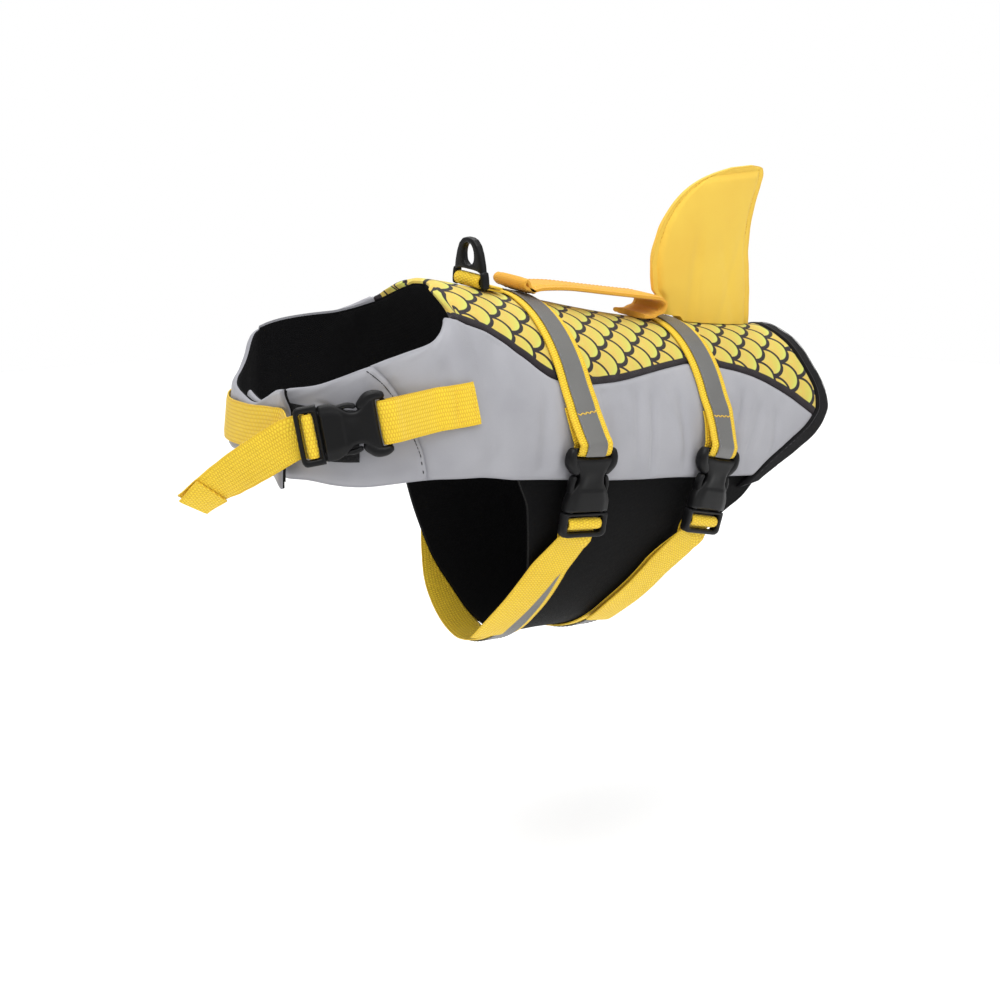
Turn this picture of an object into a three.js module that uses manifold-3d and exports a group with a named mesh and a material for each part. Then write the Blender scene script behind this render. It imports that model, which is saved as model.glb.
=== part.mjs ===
// Dog life jacket, filled out as it is worn, with no wearer in it.
// Millimetres, +Z up, nose end towards -Y, the wearer's left side towards +X.
// The origin is on the inside of the back panel, on the spine under the grab handle, where the wearer's back
// carries it.
import * as THREE from 'three';
import Module from 'manifold-3d';
import { mergeVertices } from 'three/addons/utils/BufferGeometryUtils.js';

// Driving dimensions.
const GAP = 0.3; // between sewn neighbours
const PANEL = 4; // foam panel with its two cloths
const NEOPRENE = 3; // belly panel
const WEBBING_WIDTH = 22.5;
const WEBBING = 1.4;
const TAPE_WIDTH = 13.5; // reflective tape on the girth webbing
const TAPE = 0.5;
const PATCH = 0.8; // touch fastener
const BINDING_PROUD = 0.6; // how far the binding stands out past the panels' outer face
const HANDLE_WIDTH = 29;
const HANDLE = 2.6;
const WITHERS = -115.6; // Y of the spine's front end, where the neck opening starts
const SCALLOP_START = -13; // where the back panel's lower edge leaves the neck opening
const CHEST_OVERLAP_END = -104; // the left wing's end, past the front of the chest
const RIGHT_WING_END = -107; // the right wing's end, round on the left side and over the left wing
const CURL = 2.6; // how far the right wing's end lifts

// The inside of the jacket, as sections from the chest to the tail. A section with a negative place is a vertical plane
// turned that many degrees forward about the withers, and -90 is the front of the chest. A positive place is a plane
// across the body, that many millimetres behind the withers. Left and right are alike.
// top is the spine or the neck edge, wide the widest point, bottom the belly, round is 1 for an oval and 0 for a straight wall,
// hem is the height of the lower edge of chest and sides, scallop the height of the back panel's lower edge.
const SECTION_NAMES = ['place', 'topR', 'topZ', 'wideR', 'wideZ', 'bottomZ', 'round', 'hem', 'scallop'];
const SECTION_ROWS = [
  [-90, 93.5, -11, 95.5, -40, -170, 0.0, -58, -11],
  [-84, 93.5, -9.5, 96, -40, -170, 0.0, -56.5, -9.5],
  [-77, 94, -7, 97, -40, -170, 0.0, -55, -7],
  [-69, 94, -4, 97.8, -40, -170, 0.0, -53.5, -4],
  [-61, 92, 1, 96.5, -40, -170, 0.05, -54.5, 1],
  [-53, 89, 6.5, 92, -40, -170, 0.1, -55.2, 6.5],
  [-47, 80, 9.5, 85.5, -40, -170, 0.2, -55.2, 9.5],
  [-40, 68, 11, 78.5, -42, -170, 0.35, -55.3, 11],
  [-30, 54, 11.8, 71, -44, -172, 0.6, -56, 11.8],
  [-22.6, 45.5, 13.8, 68, -46, -172, 0.8, -57, 13.8],
  [-13, 33.5, 18.3, 65.2, -49, -172, 0.93, -58.2, 18.3],
  [-8, 22, 22.3, 64.3, -51, -172, 0.97, -58.8, 17.9],
  [0, 0, 31.5, 63.5, -54, -172, 1, -60.5, 15.6],
  [13, 0, 29, 63.8, -58, -172, 1, -63.5, 9.7],
  [29, 0, 24.5, 64, -62, -172.5, 1, -66, -2.8],
  [47, 0, 19.5, 64, -66, -173.5, 1, -69, -16.7],
  [63, 0, 15.2, 63.8, -69, -174, 1, -71.8, -21.9],
  [76, 0, 12, 63.2, -71, -175, 1, -74.2, -23.9],
  [102, 0, 4.7, 60.5, -74, -177, 1, -78.5, -25.7],
  [129, 0, -2.3, 57, -78, -178.5, 1, -82.5, -25.8],
  [154, 0, -7.8, 53.2, -80, -178, 1, -87.2, -26.3],
  [165, 0, -10, 51.8, -80.4, -177, 1, -89, -28],
  [186, 0, -13.8, 49.2, -81.5, -173, 1, -92.5, -33.3],
  [206, 0, -17.2, 46.5, -82, -168, 1, -96, -40.1],
  [228, 0, -20.4, 44, -82, -162, 1, -99, -51.8],
  [252, 0, -23.4, 41.8, -82, -153, 1, -101, -68.4],
  [275, 0, -26.3, 40.2, -82, -146, 1, -103, -84],
];
// The rear edge: how far behind the withers the binding's seam and its outer edge are at each height.
const REAR_EDGE_NAMES = ['height', 'seam', 'edge'];
const REAR_EDGE_ROWS = [
  [-112, 165, 176],
  [-104.4, 178, 192],
  [-98, 190, 203.5],
  [-93.9, 198.6, 213],
  [-86.9, 211.7, 232],
  [-78.4, 231.2, 251.5],
  [-71.3, 246, 260],
  [-63.3, 254.5, 264.3],
  [-55.9, 255.5, 263.9],
  [-41.4, 251.5, 259.6],
  [-29.4, 248, 256.3],
  [-23, 244.5, 252.5],
  [0, 244.5, 252.5],
];
// The belly panel's front and rear edges, by the angle round the body: 90 is the flank and 180 the bottom.
const BELLY_NAMES = ['angle', 'front', 'rear'];
const BELLY_ROWS = [
  [60, 8, 207],
  [80, 13, 207],
  [93, 19.3, 207],
  [101, 26.1, 205],
  [106, 27.6, 198],
  [110, 28.8, 184],
  [115.5, 30.5, 165],
  [122, 32.7, 152],
  [133, 36, 139.6],
  [149, 42, 126],
  [180, 46, 118],
];
// The girth straps' middles, by the angle round the body.
const GIRTH_NAMES = ['angle', 'front', 'rear'];
const GIRTH_ROWS = [
  [0, 60.3, 165.2],
  [30, 60.3, 167],
  [65, 60, 166.5],
  [82, 59.6, 162],
  [90, 58.4, 158],
  [104, 55.6, 150.5],
  [113, 52, 142.5],
  [123, 46.3, 130.3],
  [133, 42, 119],
  [146, 37.5, 106.7],
  [180, 34, 93],
];
// The fin's front and rear edges, by height.
const FIN_NAMES = ['height', 'front', 'rear'];
const FIN_ROWS = [
  [-5, 51, 120],
  [5, 49.5, 120.2],
  [11.5, 45.6, 119.8],
  [28, 44.5, 118.4],
  [45, 49.5, 120],
  [56, 56.5, 123],
  [66, 67, 126.5],
  [72, 77.5, 128.6],
  [76, 91, 127.5],
  [78, 104, 120],
];
// One side of the buckle socket's outline, from its mouth up: half width and height from the buckle's middle.
const SOCKET_NAMES = ['half', 'y'];
const SOCKET_ROWS = [
  [13.6, -10.8],
  [14.4, -9.9],
  [14.3, -6.3],
  [13.3, -1.8],
  [11.0, 2.2],
  [8.8, 4.9],
  [8.4, 7.7],
  [9.8, 10.4],
  [13.0, 13.0],
  [15.2, 15.5],
  [16.2, 18.4],
  [15.7, 21.2],
  [14.4, 23.0],
  [13.0, 23.4],
  [12.0, 22.6],
];
// The path of webbing through the ladder lock, from behind it, over the middle bar and back down, in the buckle's
// own frame.
const LADDER_NAMES = ['y', 'z'];
const LADDER_ROWS = [
  [-27, -5.9],
  [-23.4, -5.9],
  [-20.5, -5.75],
  [-17.6, -4.6],
  [-15.6, -2.8],
  [-14.5, -0.9],
  [-14.5, 0.8],
  [-15.4, 2.0],
  [-16.8, 2.45],
  [-18.2, 2.0],
  [-19.1, 0.8],
  [-19.2, -0.8],
  [-19.3, -2.2],
  [-20.1, -3.5],
  [-21.8, -4.0],
  [-24.5, -3.95],
];
// The path of a sewn loop round the socket's bar, from the back layer to the front layer.
const LOOP_NAMES = ['y', 'z'];
const LOOP_ROWS = [
  [25.5, -2.5],
  [23.2, -2.4],
  [21.5, -2.35],
  [20.1, -1.75],
  [19.35, -0.6],
  [19.35, 0.6],
  [20.1, 1.75],
  [21.5, 2.4],
  [23.2, 2.6],
  [25.5, 2.7],
];

const smooth = (low, high, x) => THREE.MathUtils.smoothstep(x, low, high);
const mix = THREE.MathUtils.lerp;
const radians = THREE.MathUtils.degToRad;

// A function of one number that passes through a table's rows, with no overshoot between them.
function column(names, rows, key, name) {
  const k = names.indexOf(key);
  const n = names.indexOf(name);
  const x = rows.map((row) => row[k]);
  const y = rows.map((row) => row[n]);
  const slope = x.slice(1).map((_, i) => (y[i + 1] - y[i]) / (x[i + 1] - x[i]));
  const tangent = x.map((_, i) => {
    if (i === 0) return slope[0];
    if (i === x.length - 1) return slope[i - 1];
    const product = slope[i - 1] * slope[i];
    return product > 0 ? (2 * product) / (slope[i - 1] + slope[i]) : 0;
  });
  return (at) => {
    const inside = Math.min(Math.max(at, x[0]), x[x.length - 1]);
    let i = 0;
    while (i < x.length - 2 && inside > x[i + 1]) i += 1;
    const h = x[i + 1] - x[i];
    const t = (inside - x[i]) / h;
    const a = (1 + 2 * t) * (1 - t) ** 2 * y[i] + t * t * (3 - 2 * t) * y[i + 1];
    return a + h * (t * (1 - t) ** 2 * tangent[i] + t * t * (t - 1) * tangent[i + 1]);
  };
}
const SECTION = Object.fromEntries(
  SECTION_NAMES.slice(1).map((name) => [name, column(SECTION_NAMES, SECTION_ROWS, 'place', name)]),
);
const bellyFront = column(BELLY_NAMES, BELLY_ROWS, 'angle', 'front');
const bellyRear = column(BELLY_NAMES, BELLY_ROWS, 'angle', 'rear');

// Past the front of the chest the sections run on round to the other side.
const folded = (place) => (place < -90 ? -180 - place : place);

// A point of the inside, at a place along the body and an angle round it: 0 is the top, positive angles are the
// left side.
function inside(place, angle) {
  const at = folded(place);
  const names = ['topR', 'topZ', 'wideR', 'wideZ', 'bottomZ', 'round'];
  const s = Object.fromEntries(names.map((name) => [name, SECTION[name](at)]));
  const side = angle < 0 ? -1 : 1;
  const turn = Math.abs(angle);
  const sine = Math.sin(radians(turn));
  const cosine = Math.cos(radians(turn));
  const share = turn / 90;
  const upper = turn <= 90;
  const out = upper ? mix(share, sine, s.round) : 1;
  const down = upper ? mix(share, 1 - cosine, s.round) : 1;
  const r = upper ? s.topR + (s.wideR - s.topR) * out : s.wideR * (1 - s.round * (1 - sine));
  const z = upper
    ? s.topZ - (s.topZ - s.wideZ) * down
    : s.wideZ - (s.wideZ - s.bottomZ) * mix(share - 1, -cosine, s.round);
  if (place >= 0) return new THREE.Vector3(side * r, WITHERS + place, z);
  const forward = radians(-place);
  return new THREE.Vector3(side * r * Math.cos(forward), WITHERS - r * Math.sin(forward), z);
}

// The direction straight out of the jacket there.
function outward(place, angle) {
  const side = angle < 0 ? -1 : 1;
  const step = 0.6;
  const along = inside(place + step, angle).sub(inside(place - step, angle));
  const spine = place >= 0 && Math.abs(angle) < step;
  const low = spine ? -step : angle - side * Math.min(step, Math.abs(angle));
  const round = inside(place, spine ? step : angle + side * step).sub(inside(place, low));
  const out = new THREE.Vector3().crossVectors(round, along);
  if (!spine && side < 0) out.negate();
  return out.normalize();
}

const lifted = (place, angle, offset) => inside(place, angle).addScaledVector(outward(place, angle), offset);

// The angle at which a section reaches a height.
function angleAtHeight(place, height) {
  let low = 0;
  let high = 180;
  for (let i = 0; i < 40; i += 1) {
    const middle = (low + high) / 2;
    if (inside(place, middle).z > height) low = middle;
    else high = middle;
  }
  return (low + high) / 2;
}

const seamAtHeight = column(REAR_EDGE_NAMES, REAR_EDGE_ROWS, 'height', 'seam');
const edgeAtHeight = column(REAR_EDGE_NAMES, REAR_EDGE_ROWS, 'height', 'edge');

// The place where a curve given by height crosses an angle round the body.
function placeAtAngle(placeAtHeight, angle) {
  let place = 240;
  for (let i = 0; i < 14; i += 1) place = mix(place, placeAtHeight(inside(place, angle(place)).z), 0.6);
  return place;
}

// A closed mesh between two grids of points with the same layout.
function shell(columns, rows, innerAt, outerAt) {
  const positions = [];
  const index = [];
  const id = (layer, i, j) => (layer * (columns + 1) + i) * (rows + 1) + j;
  for (const at of [innerAt, outerAt])
    for (let i = 0; i <= columns; i += 1)
      for (let j = 0; j <= rows; j += 1) positions.push(...at(i / columns, j / rows).toArray());
  const quad = (a, b, c, d) => index.push(a, b, c, a, c, d);
  for (let i = 0; i < columns; i += 1)
    for (let j = 0; j < rows; j += 1) {
      quad(id(1, i, j), id(1, i + 1, j), id(1, i + 1, j + 1), id(1, i, j + 1));
      quad(id(0, i, j), id(0, i, j + 1), id(0, i + 1, j + 1), id(0, i + 1, j));
    }
  for (let i = 0; i < columns; i += 1) {
    quad(id(0, i, 0), id(0, i + 1, 0), id(1, i + 1, 0), id(1, i, 0));
    quad(id(1, i, rows), id(1, i + 1, rows), id(0, i + 1, rows), id(0, i, rows));
  }
  for (let j = 0; j < rows; j += 1) {
    quad(id(1, 0, j), id(1, 0, j + 1), id(0, 0, j + 1), id(0, 0, j));
    quad(id(0, columns, j), id(0, columns, j + 1), id(1, columns, j + 1), id(1, columns, j));
  }
  const geometry = new THREE.BufferGeometry();
  geometry.setAttribute('position', new THREE.Float32BufferAttribute(positions, 3));
  geometry.setIndex(index);
  if (volume(geometry) < 0) geometry.setIndex(index.map((_, k) => index[k - (k % 3) + 2 - (k % 3)]));
  geometry.computeVertexNormals();
  return geometry;
}

// The volume that a closed mesh holds, negative where its faces point inwards.
function volume(geometry) {
  const p = geometry.getAttribute('position');
  const index = geometry.getIndex().array;
  const [a, b, c] = [new THREE.Vector3(), new THREE.Vector3(), new THREE.Vector3()];
  let sum = 0;
  for (let i = 0; i < index.length; i += 3) {
    a.fromBufferAttribute(p, index[i]);
    b.fromBufferAttribute(p, index[i + 1]);
    c.fromBufferAttribute(p, index[i + 2]);
    sum += a.dot(b.cross(c));
  }
  return sum / 6;
}

// A wall on the jacket's form: at gives [place, angle] for each share across and along, and low and high are its
// faces' heights.
function wall(columns, rows, at, low, high) {
  const heightAt = (offset, u, v) => (typeof offset === 'function' ? offset(u, v) : offset);
  const face = (offset) => (u, v) => lifted(...at(u, v), heightAt(offset, u, v));
  return shell(columns, rows, face(low), face(high));
}

// A strip of webbing or tape through stations that each have a middle and a direction across it.
function strip(stations, width, thickness) {
  const last = stations.length - 1;
  const frames = stations.map(({ middle, across }, i) => {
    const before = middle.clone().sub(stations[Math.max(0, i - 1)].middle).normalize();
    const after = stations[Math.min(last, i + 1)].middle.clone().sub(middle).normalize();
    const along = before.add(after).normalize();
    const side = across.clone().addScaledVector(along, -across.dot(along)).normalize();
    return { middle, side, out: new THREE.Vector3().crossVectors(along, side).normalize() };
  });
  const face = (sign) => (u, v) => {
    const f = frames[Math.round(u * last)];
    const centre = f.middle.clone().addScaledVector(f.side, (v - 0.5) * width);
    return centre.addScaledVector(f.out, (sign * thickness) / 2);
  };
  return shell(last, 1, face(-1), face(1));
}

// Stations of a strip that lies on the jacket's form, along a route of [place, angle, offset].
function laid(count, route) {
  const middle = (t) => lifted(...route(t));
  return Array.from({ length: count + 1 }, (_, i) => {
    const t = i / count;
    const step = 1e-3;
    const along = middle(Math.min(1, t + step)).sub(middle(Math.max(0, t - step))).normalize();
    const [place, angle] = route(t);
    const across = new THREE.Vector3().crossVectors(outward(place, angle), along).normalize();
    return { middle: middle(t), across };
  });
}

// The same strip moved a little towards its outer side.
function raised(stations, distance) {
  return stations.map(({ middle, across }, i) => {
    const before = stations[Math.max(0, i - 1)].middle;
    const after = stations[Math.min(stations.length - 1, i + 1)].middle;
    const out = new THREE.Vector3().crossVectors(after.clone().sub(before), across).normalize();
    return { middle: middle.clone().addScaledVector(out, -distance), across };
  });
}

// A flat plate with a given outline, centred on z = 0.
function plate(points, thickness, holes = []) {
  const shape = new THREE.Shape(points.map(([x, y]) => new THREE.Vector2(x, y)));
  shape.holes = holes.map((hole) => new THREE.Path(hole.map(([x, y]) => new THREE.Vector2(x, y))));
  const made = new THREE.ExtrudeGeometry(shape, { depth: thickness, bevelEnabled: false, curveSegments: 6 });
  return made.translate(0, 0, -thickness / 2);
}
function block(x0, x1, y0, y1, z0, z1) {
  const made = new THREE.BoxGeometry(x1 - x0, y1 - y0, z1 - z0);
  return made.translate((x0 + x1) / 2, (y0 + y1) / 2, (z0 + z1) / 2);
}
const bothSides = (half) => [...half, ...half.map(([x, y]) => [-x, y]).reverse()];

const wasm = await Module();
wasm.setup();
function solid(geometry) {
  const loose = geometry.index ? geometry.toNonIndexed() : geometry;
  const bare = new THREE.BufferGeometry().setAttribute('position', loose.getAttribute('position'));
  const merged = mergeVertices(bare, 1e-4);
  const vertProperties = merged.attributes.position.array;
  const triVerts = new Uint32Array(merged.index.array);
  return new wasm.Manifold(new wasm.Mesh({ numProp: 3, vertProperties, triVerts }));
}
function surface(made) {
  const mesh = made.getMesh();
  const geometry = new THREE.BufferGeometry();
  geometry.setAttribute('position', new THREE.BufferAttribute(mesh.vertProperties, 3));
  geometry.setIndex(new THREE.BufferAttribute(mesh.triVerts, 1));
  geometry.computeVertexNormals();
  return geometry;
}
const cutFrom = (body, cutters) => cutters.reduce((left, cutter) => left.subtract(solid(cutter)), body);
const joined = (geometries) => geometries.map(solid).reduce((a, b) => a.add(b));

// Materials.
const cloth = (color, roughness = 0.85) => new THREE.MeshStandardMaterial({ color, roughness, metalness: 0 });
const scaleCloth = cloth(0xd8c65a);
const greyCloth = cloth(0xa9a9ae, 0.7);
const blackNeoprene = cloth(0x141416, 0.6);
const blackBinding = cloth(0x1c1c1f, 0.8);
const yellowWebbing = cloth(0xeccb35, 0.75);
const yellowCloth = cloth(0xf2c14a, 0.75);
const reflectiveTape = cloth(0x86898a, 0.35);
const touchFastener = cloth(0x101012, 0.95);
const blackPlastic = new THREE.MeshStandardMaterial({ color: 0x1b1b1d, roughness: 0.45, metalness: 0 });

const jacket = new THREE.Group();
jacket.name = 'dog_life_jacket';
function add(name, geometry, material) {
  const mesh = new THREE.Mesh(geometry, material);
  mesh.name = name;
  jacket.add(mesh);
  return mesh;
}

// Seams, each neighbour half a gap back from them.
const HALF_GAP_ANGLE = 0.18;
const HALF_GAP = 0.16;
const scallopAngle = (place) => (place <= SCALLOP_START ? 0 : angleAtHeight(place, SECTION.scallop(place)));
const hemAngle = (place) => angleAtHeight(place, SECTION.hem(folded(place)));
const chestSeam = (share) => mix(-51.5, -33.2, share); // it leans from the neck edge to the hem

// Back panel, one piece over the spine. across runs from -1 on the right scallop to 1 on the left one.
function backPoint(u, v) {
  const across = 2 * v - 1;
  const share = Math.abs(across);
  const front = mix(2.5, SCALLOP_START + 0.3, share ** 1.1);
  const angleAt = (place) => share * Math.max(0.5, scallopAngle(place) - HALF_GAP_ANGLE);
  const rear = placeAtAngle(seamAtHeight, angleAt) - HALF_GAP;
  const place = mix(front, rear, u);
  return [place, Math.sign(across) * angleAt(place)];
}
add('back_panel', wall(40, 14, backPoint, 0, PANEL), scaleCloth);

// Side panels.
const underScallop = (place) => Math.max(0.6, scallopAngle(place) + HALF_GAP_ANGLE);
const sideTop = (place) => (place > SCALLOP_START ? underScallop(place) : 0.6);
function sidePoint(side) {
  return (u, v) => {
    const angleAt = (place) => mix(sideTop(place), hemAngle(place), v);
    const rear = placeAtAngle(seamAtHeight, angleAt) - HALF_GAP;
    const place = mix(chestSeam(v) + HALF_GAP, rear, u);
    return [place, side * angleAt(place)];
  };
}
for (const [name, side] of [['left', 1], ['right', -1]])
  add(`side_panel_${name}`, wall(42, 7, sidePoint(side), 0, PANEL), greyCloth);

// Chest wings. The right one crosses the chest and closes over the left one, and both sit lower at the right
// front corner.
const wingLift = (place) => 6.9 * smooth(58, 76, -place) + CURL * smooth(93, 111, -place) ** 1.5;
const topHeight = (place) => SECTION.topZ(folded(place)) - 0.5;
const hemHeight = (place) => SECTION.hem(folded(place));
const topDip = (place) => 9 * smooth(52, 66, -place) * (1 - smooth(84, 104, -place));
const rightTop = (place) => angleAtHeight(place, topHeight(place) - topDip(place));
const hemRise = (place) => 8 * smooth(60, 80, -place) * (1 - smooth(88, 110, -place)) - 3 * smooth(96, 110, -place);
const rightHem = (place) => angleAtHeight(place, hemHeight(place) + hemRise(place));
const leftTop = (place) => angleAtHeight(place, topHeight(place) - 10 * smooth(78, 98, -place));
const leftHem = (place) => angleAtHeight(place, hemHeight(place) + 11 * smooth(78, 98, -place));
function leftWing(u, v) {
  const place = mix(chestSeam(v) - HALF_GAP, CHEST_OVERLAP_END, u);
  return [place, mix(leftTop(place), leftHem(place), v)];
}
function rightWing(u, v) {
  const place = mix(chestSeam(v) - HALF_GAP, RIGHT_WING_END, u);
  return [place, -mix(rightTop(place), rightHem(place), v)];
}
add('chest_wing_left', wall(24, 5, leftWing, 0, PANEL), greyCloth);
const rightLift = (u, v) => wingLift(rightWing(u, v)[0]);
add('chest_wing_right', wall(34, 5, rightWing, rightLift, (u, v) => rightLift(u, v) + PANEL), greyCloth);

// Touch fasteners: hooks on the left wing's outer face, loops on the right wing's inner face.
function hookPoint(u, v) {
  const place = mix(-54.4, -88, u);
  return [place, angleAtHeight(place, mix(-15, -41.3, v))];
}
add('hook_patch', wall(12, 3, hookPoint, PANEL + 0.45, PANEL + 0.45 + PATCH), touchFastener);
function loopPoint(u, v) {
  const place = mix(-91, RIGHT_WING_END + 0.3, u);
  return [place, -mix(rightTop(place) + 2, rightHem(place) - 2, v)];
}
const loopLift = (u, v) => wingLift(loopPoint(u, v)[0]) - 0.45;
add('loop_patch', wall(18, 4, loopPoint, (u, v) => loopLift(u, v) - PATCH, loopLift), touchFastener);

// Rear binding, from the left hem over the spine to the right hem.
function bindingPoint(u, v) {
  const across = 2 * v - 1;
  const angle = Math.abs(across) * 101.5;
  const seam = placeAtAngle(seamAtHeight, () => angle) + 0.4;
  const edge = placeAtAngle(edgeAtHeight, () => angle);
  return [mix(seam, edge, u), Math.sign(across) * angle];
}
add('rear_binding', wall(2, 44, bindingPoint, 0, PANEL + BINDING_PROUD), blackBinding);

// Belly panel, sewn up inside both side panels.
function bellyPoint(u, v) {
  const across = 2 * v - 1;
  const turn = mix(180, 80, Math.abs(across));
  return [mix(bellyFront(turn), bellyRear(turn), u), across < 0 ? -turn : turn];
}
add('belly_panel', wall(20, 26, bellyPoint, -GAP - NEOPRENE, -GAP), blackNeoprene);

// Side-release buckles. A buckle's own frame has y towards the socket's bar and z out of the jacket.
function buckleFrame(barEnd, lockEnd) {
  const up = lifted(...barEnd).sub(lifted(...lockEnd)).normalize();
  const middle = lifted(...barEnd).lerp(lifted(...lockEnd), 0.5);
  const rough = outward(mix(barEnd[0], lockEnd[0], 0.5), mix(barEnd[1], lockEnd[1], 0.5));
  const right = new THREE.Vector3().crossVectors(up, rough).normalize();
  return { middle, x: right, y: up, z: new THREE.Vector3().crossVectors(right, up).normalize() };
}
const inFrame = (f, y, z) => f.middle.clone().addScaledVector(f.y, y).addScaledVector(f.z, z);
function localStations(f, table) {
  return table.map(([y, z]) => ({ middle: inFrame(f, y, z), across: f.x.clone() }));
}
const SLOT = 11.8; // half the width of the slots
const BAR = 1; // half the thickness of the bars
function socketSolid() {
  const body = solid(plate(bothSides(SOCKET_ROWS), 8.6));
  return cutFrom(body, [
    block(-12.3, 12.3, -12, 9, -2.6, 2.6),
    block(-SLOT, SLOT, 18, 20.8, -6, 6),
    block(-SLOT, SLOT, 17.9, 24, BAR, 6),
    block(-SLOT, SLOT, 17.9, 24, -6, -BAR),
    block(-20, 20, 13.2, 24, 3.5, 6),
    block(-20, 20, 13.2, 24, -6, -3.5),
  ]);
}
function plugSolid() {
  const outline = bothSides([[12.2, -23.4], [14.2, -22.7], [15.4, -20.8], [15.4, -11.1]]);
  const frame = cutFrom(solid(plate(outline, 5.4)), [
    block(-SLOT, SLOT, -20.9, -17.8, -4, 4),
    block(-SLOT, SLOT, -15.8, -12.7, -4, 4),
    block(-SLOT, SLOT, -17.9, -15.7, BAR, 4),
    block(-SLOT, SLOT, -17.9, -15.7, -4, -BAR),
  ]);
  const armOutline = [[9.4, -11.7], [12, -11.7], [12, 7], [10.8, 8.5], [9, 7.6], [9.4, 0]];
  const arm = (side) => plate(armOutline.map(([x, y]) => [side * x, y]), 4.6);
  return frame.add(joined([arm(1), arm(-1), block(-3.2, 3.2, -11.7, 5.4, -2.3, 2.3)]));
}
function addBuckle(name, frame) {
  const matrix = new THREE.Matrix4().makeBasis(frame.x, frame.y, frame.z).setPosition(frame.middle);
  add(`${name}_buckle_socket`, surface(socketSolid()).applyMatrix4(matrix), blackPlastic);
  add(`${name}_buckle_plug`, surface(plugSolid()).applyMatrix4(matrix), blackPlastic);
}

// Stations that leave the jacket's form little by little and run into a buckle at a height in its own frame.
function runInto(count, route, frame, yEnd, z) {
  const rest = inFrame(frame, yEnd, z).sub(lifted(...route(1)));
  return laid(count + 1, route).slice(1, -1).map(({ middle, across }, i) => {
    const t = (i + 1) / (count + 1);
    if (across.dot(frame.x) < 0) across.negate();
    return { middle: middle.addScaledVector(rest, t ** 1.4), across: across.lerp(frame.x, t).normalize() };
  });
}
const reversed = (stations) => [...stations].reverse();

// All stations' directions across made to agree with the first one's.
function agreed(stations) {
  let last = stations[0].across;
  return stations.map(({ middle, across }) => {
    last = across.dot(last) < 0 ? across.clone().negate() : across;
    return { middle, across: last };
  });
}

// Girth straps: each is sewn over the back and round under the belly, and closes on the left flank.
const LAID = PANEL + 1.5 * GAP + WEBBING / 2;
const LAYER = WEBBING + GAP;
const BELLY_LAID = WEBBING / 2;
const TAPE_LAYER = TAPE + 1.5 * GAP;
function addGirthStrap(name, { stitch, barEnd, lockEnd, tailEnd, tailShift }) {
  const middle = column(GIRTH_NAMES, GIRTH_ROWS, 'angle', name);
  const frame = buckleFrame(barEnd, lockEnd);
  const hem = hemAngle(middle(95));
  const perMillimetre = (lockEnd[1] - barEnd[1]) / lifted(...barEnd).distanceTo(lifted(...lockEnd));
  const angleAtY = (y) => (barEnd[1] + lockEnd[1]) / 2 - y * perMillimetre;
  const down = (offset) => (t) => {
    const angle = mix(stitch, angleAtY(26), t);
    return [middle(angle), angle, offset];
  };
  const over = laid(58, (t) => {
    const angle = mix(stitch, -180, t);
    const turn = Math.abs(angle);
    const lift = angle > 0 ? LAYER * smooth(stitch - 7, stitch, angle) : 0;
    return [middle(turn), angle, mix(LAID, BELLY_LAID, smooth(hem + 1, hem + 10, turn)) + lift];
  });
  const rise = lockEnd[1] + 17;
  const under = laid(20, (t) => {
    const angle = mix(179.9, rise, t);
    return [middle(angle), angle, BELLY_LAID];
  });
  const toLock = (offset, shift) => (t) => {
    const angle = mix(rise, angleAtY(-27), t);
    return [middle(angle) - shift * (1 - t), angle, offset];
  };
  const tailLaid = BELLY_LAID + LAYER + TAPE_LAYER + 0.3;
  const tail = laid(12, (t) => {
    const angle = mix(rise, tailEnd, t);
    return [middle(angle) - tailShift * smooth(-0.9, 1, t), angle, tailLaid];
  });
  const shiftAtRise = tailShift * smooth(-0.9, 1, 0);
  const stations = agreed([
    ...laid(1, down(LAID)).slice(0, 1),
    ...runInto(5, down(LAID), frame, 25.5, -2.5),
    ...localStations(frame, LOOP_ROWS),
    ...reversed(runInto(5, down(LAID + LAYER), frame, 25.5, 2.7)),
    ...over,
    ...under,
    ...runInto(4, toLock(BELLY_LAID, 0), frame, -27, -5.9),
    ...localStations(frame, LADDER_ROWS),
    ...reversed(runInto(4, toLock(tailLaid, shiftAtRise), frame, -24.5, -3.95)),
    ...tail,
  ]);
  add(`${name}_girth_strap`, strip(stations, WEBBING_WIDTH, WEBBING), yellowWebbing);
  const tapeStart = 1 + 5 + 8;
  const tapeEnd = 1 + 5 + LOOP_ROWS.length + 5 + over.length + under.length;
  const onTop = raised(stations, WEBBING / 2 + 1.5 * GAP + TAPE / 2).slice(tapeStart, tapeEnd);
  add(`${name}_girth_tape`, strip(onTop, TAPE_WIDTH, TAPE), reflectiveTape);
  addBuckle(`${name}_girth`, frame);
}
addGirthStrap('front', {
  stitch: 64.5,
  barEnd: [60.4, 82.1, 9.5],
  lockEnd: [55.6, 103.9, 9.5],
  tailEnd: 152,
  tailShift: 9,
});
addGirthStrap('rear', {
  stitch: 66.5,
  barEnd: [160.3, 85.5, 9.5],
  lockEnd: [149, 108.5, 9.5],
  tailEnd: 154,
  tailShift: 2,
});

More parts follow.
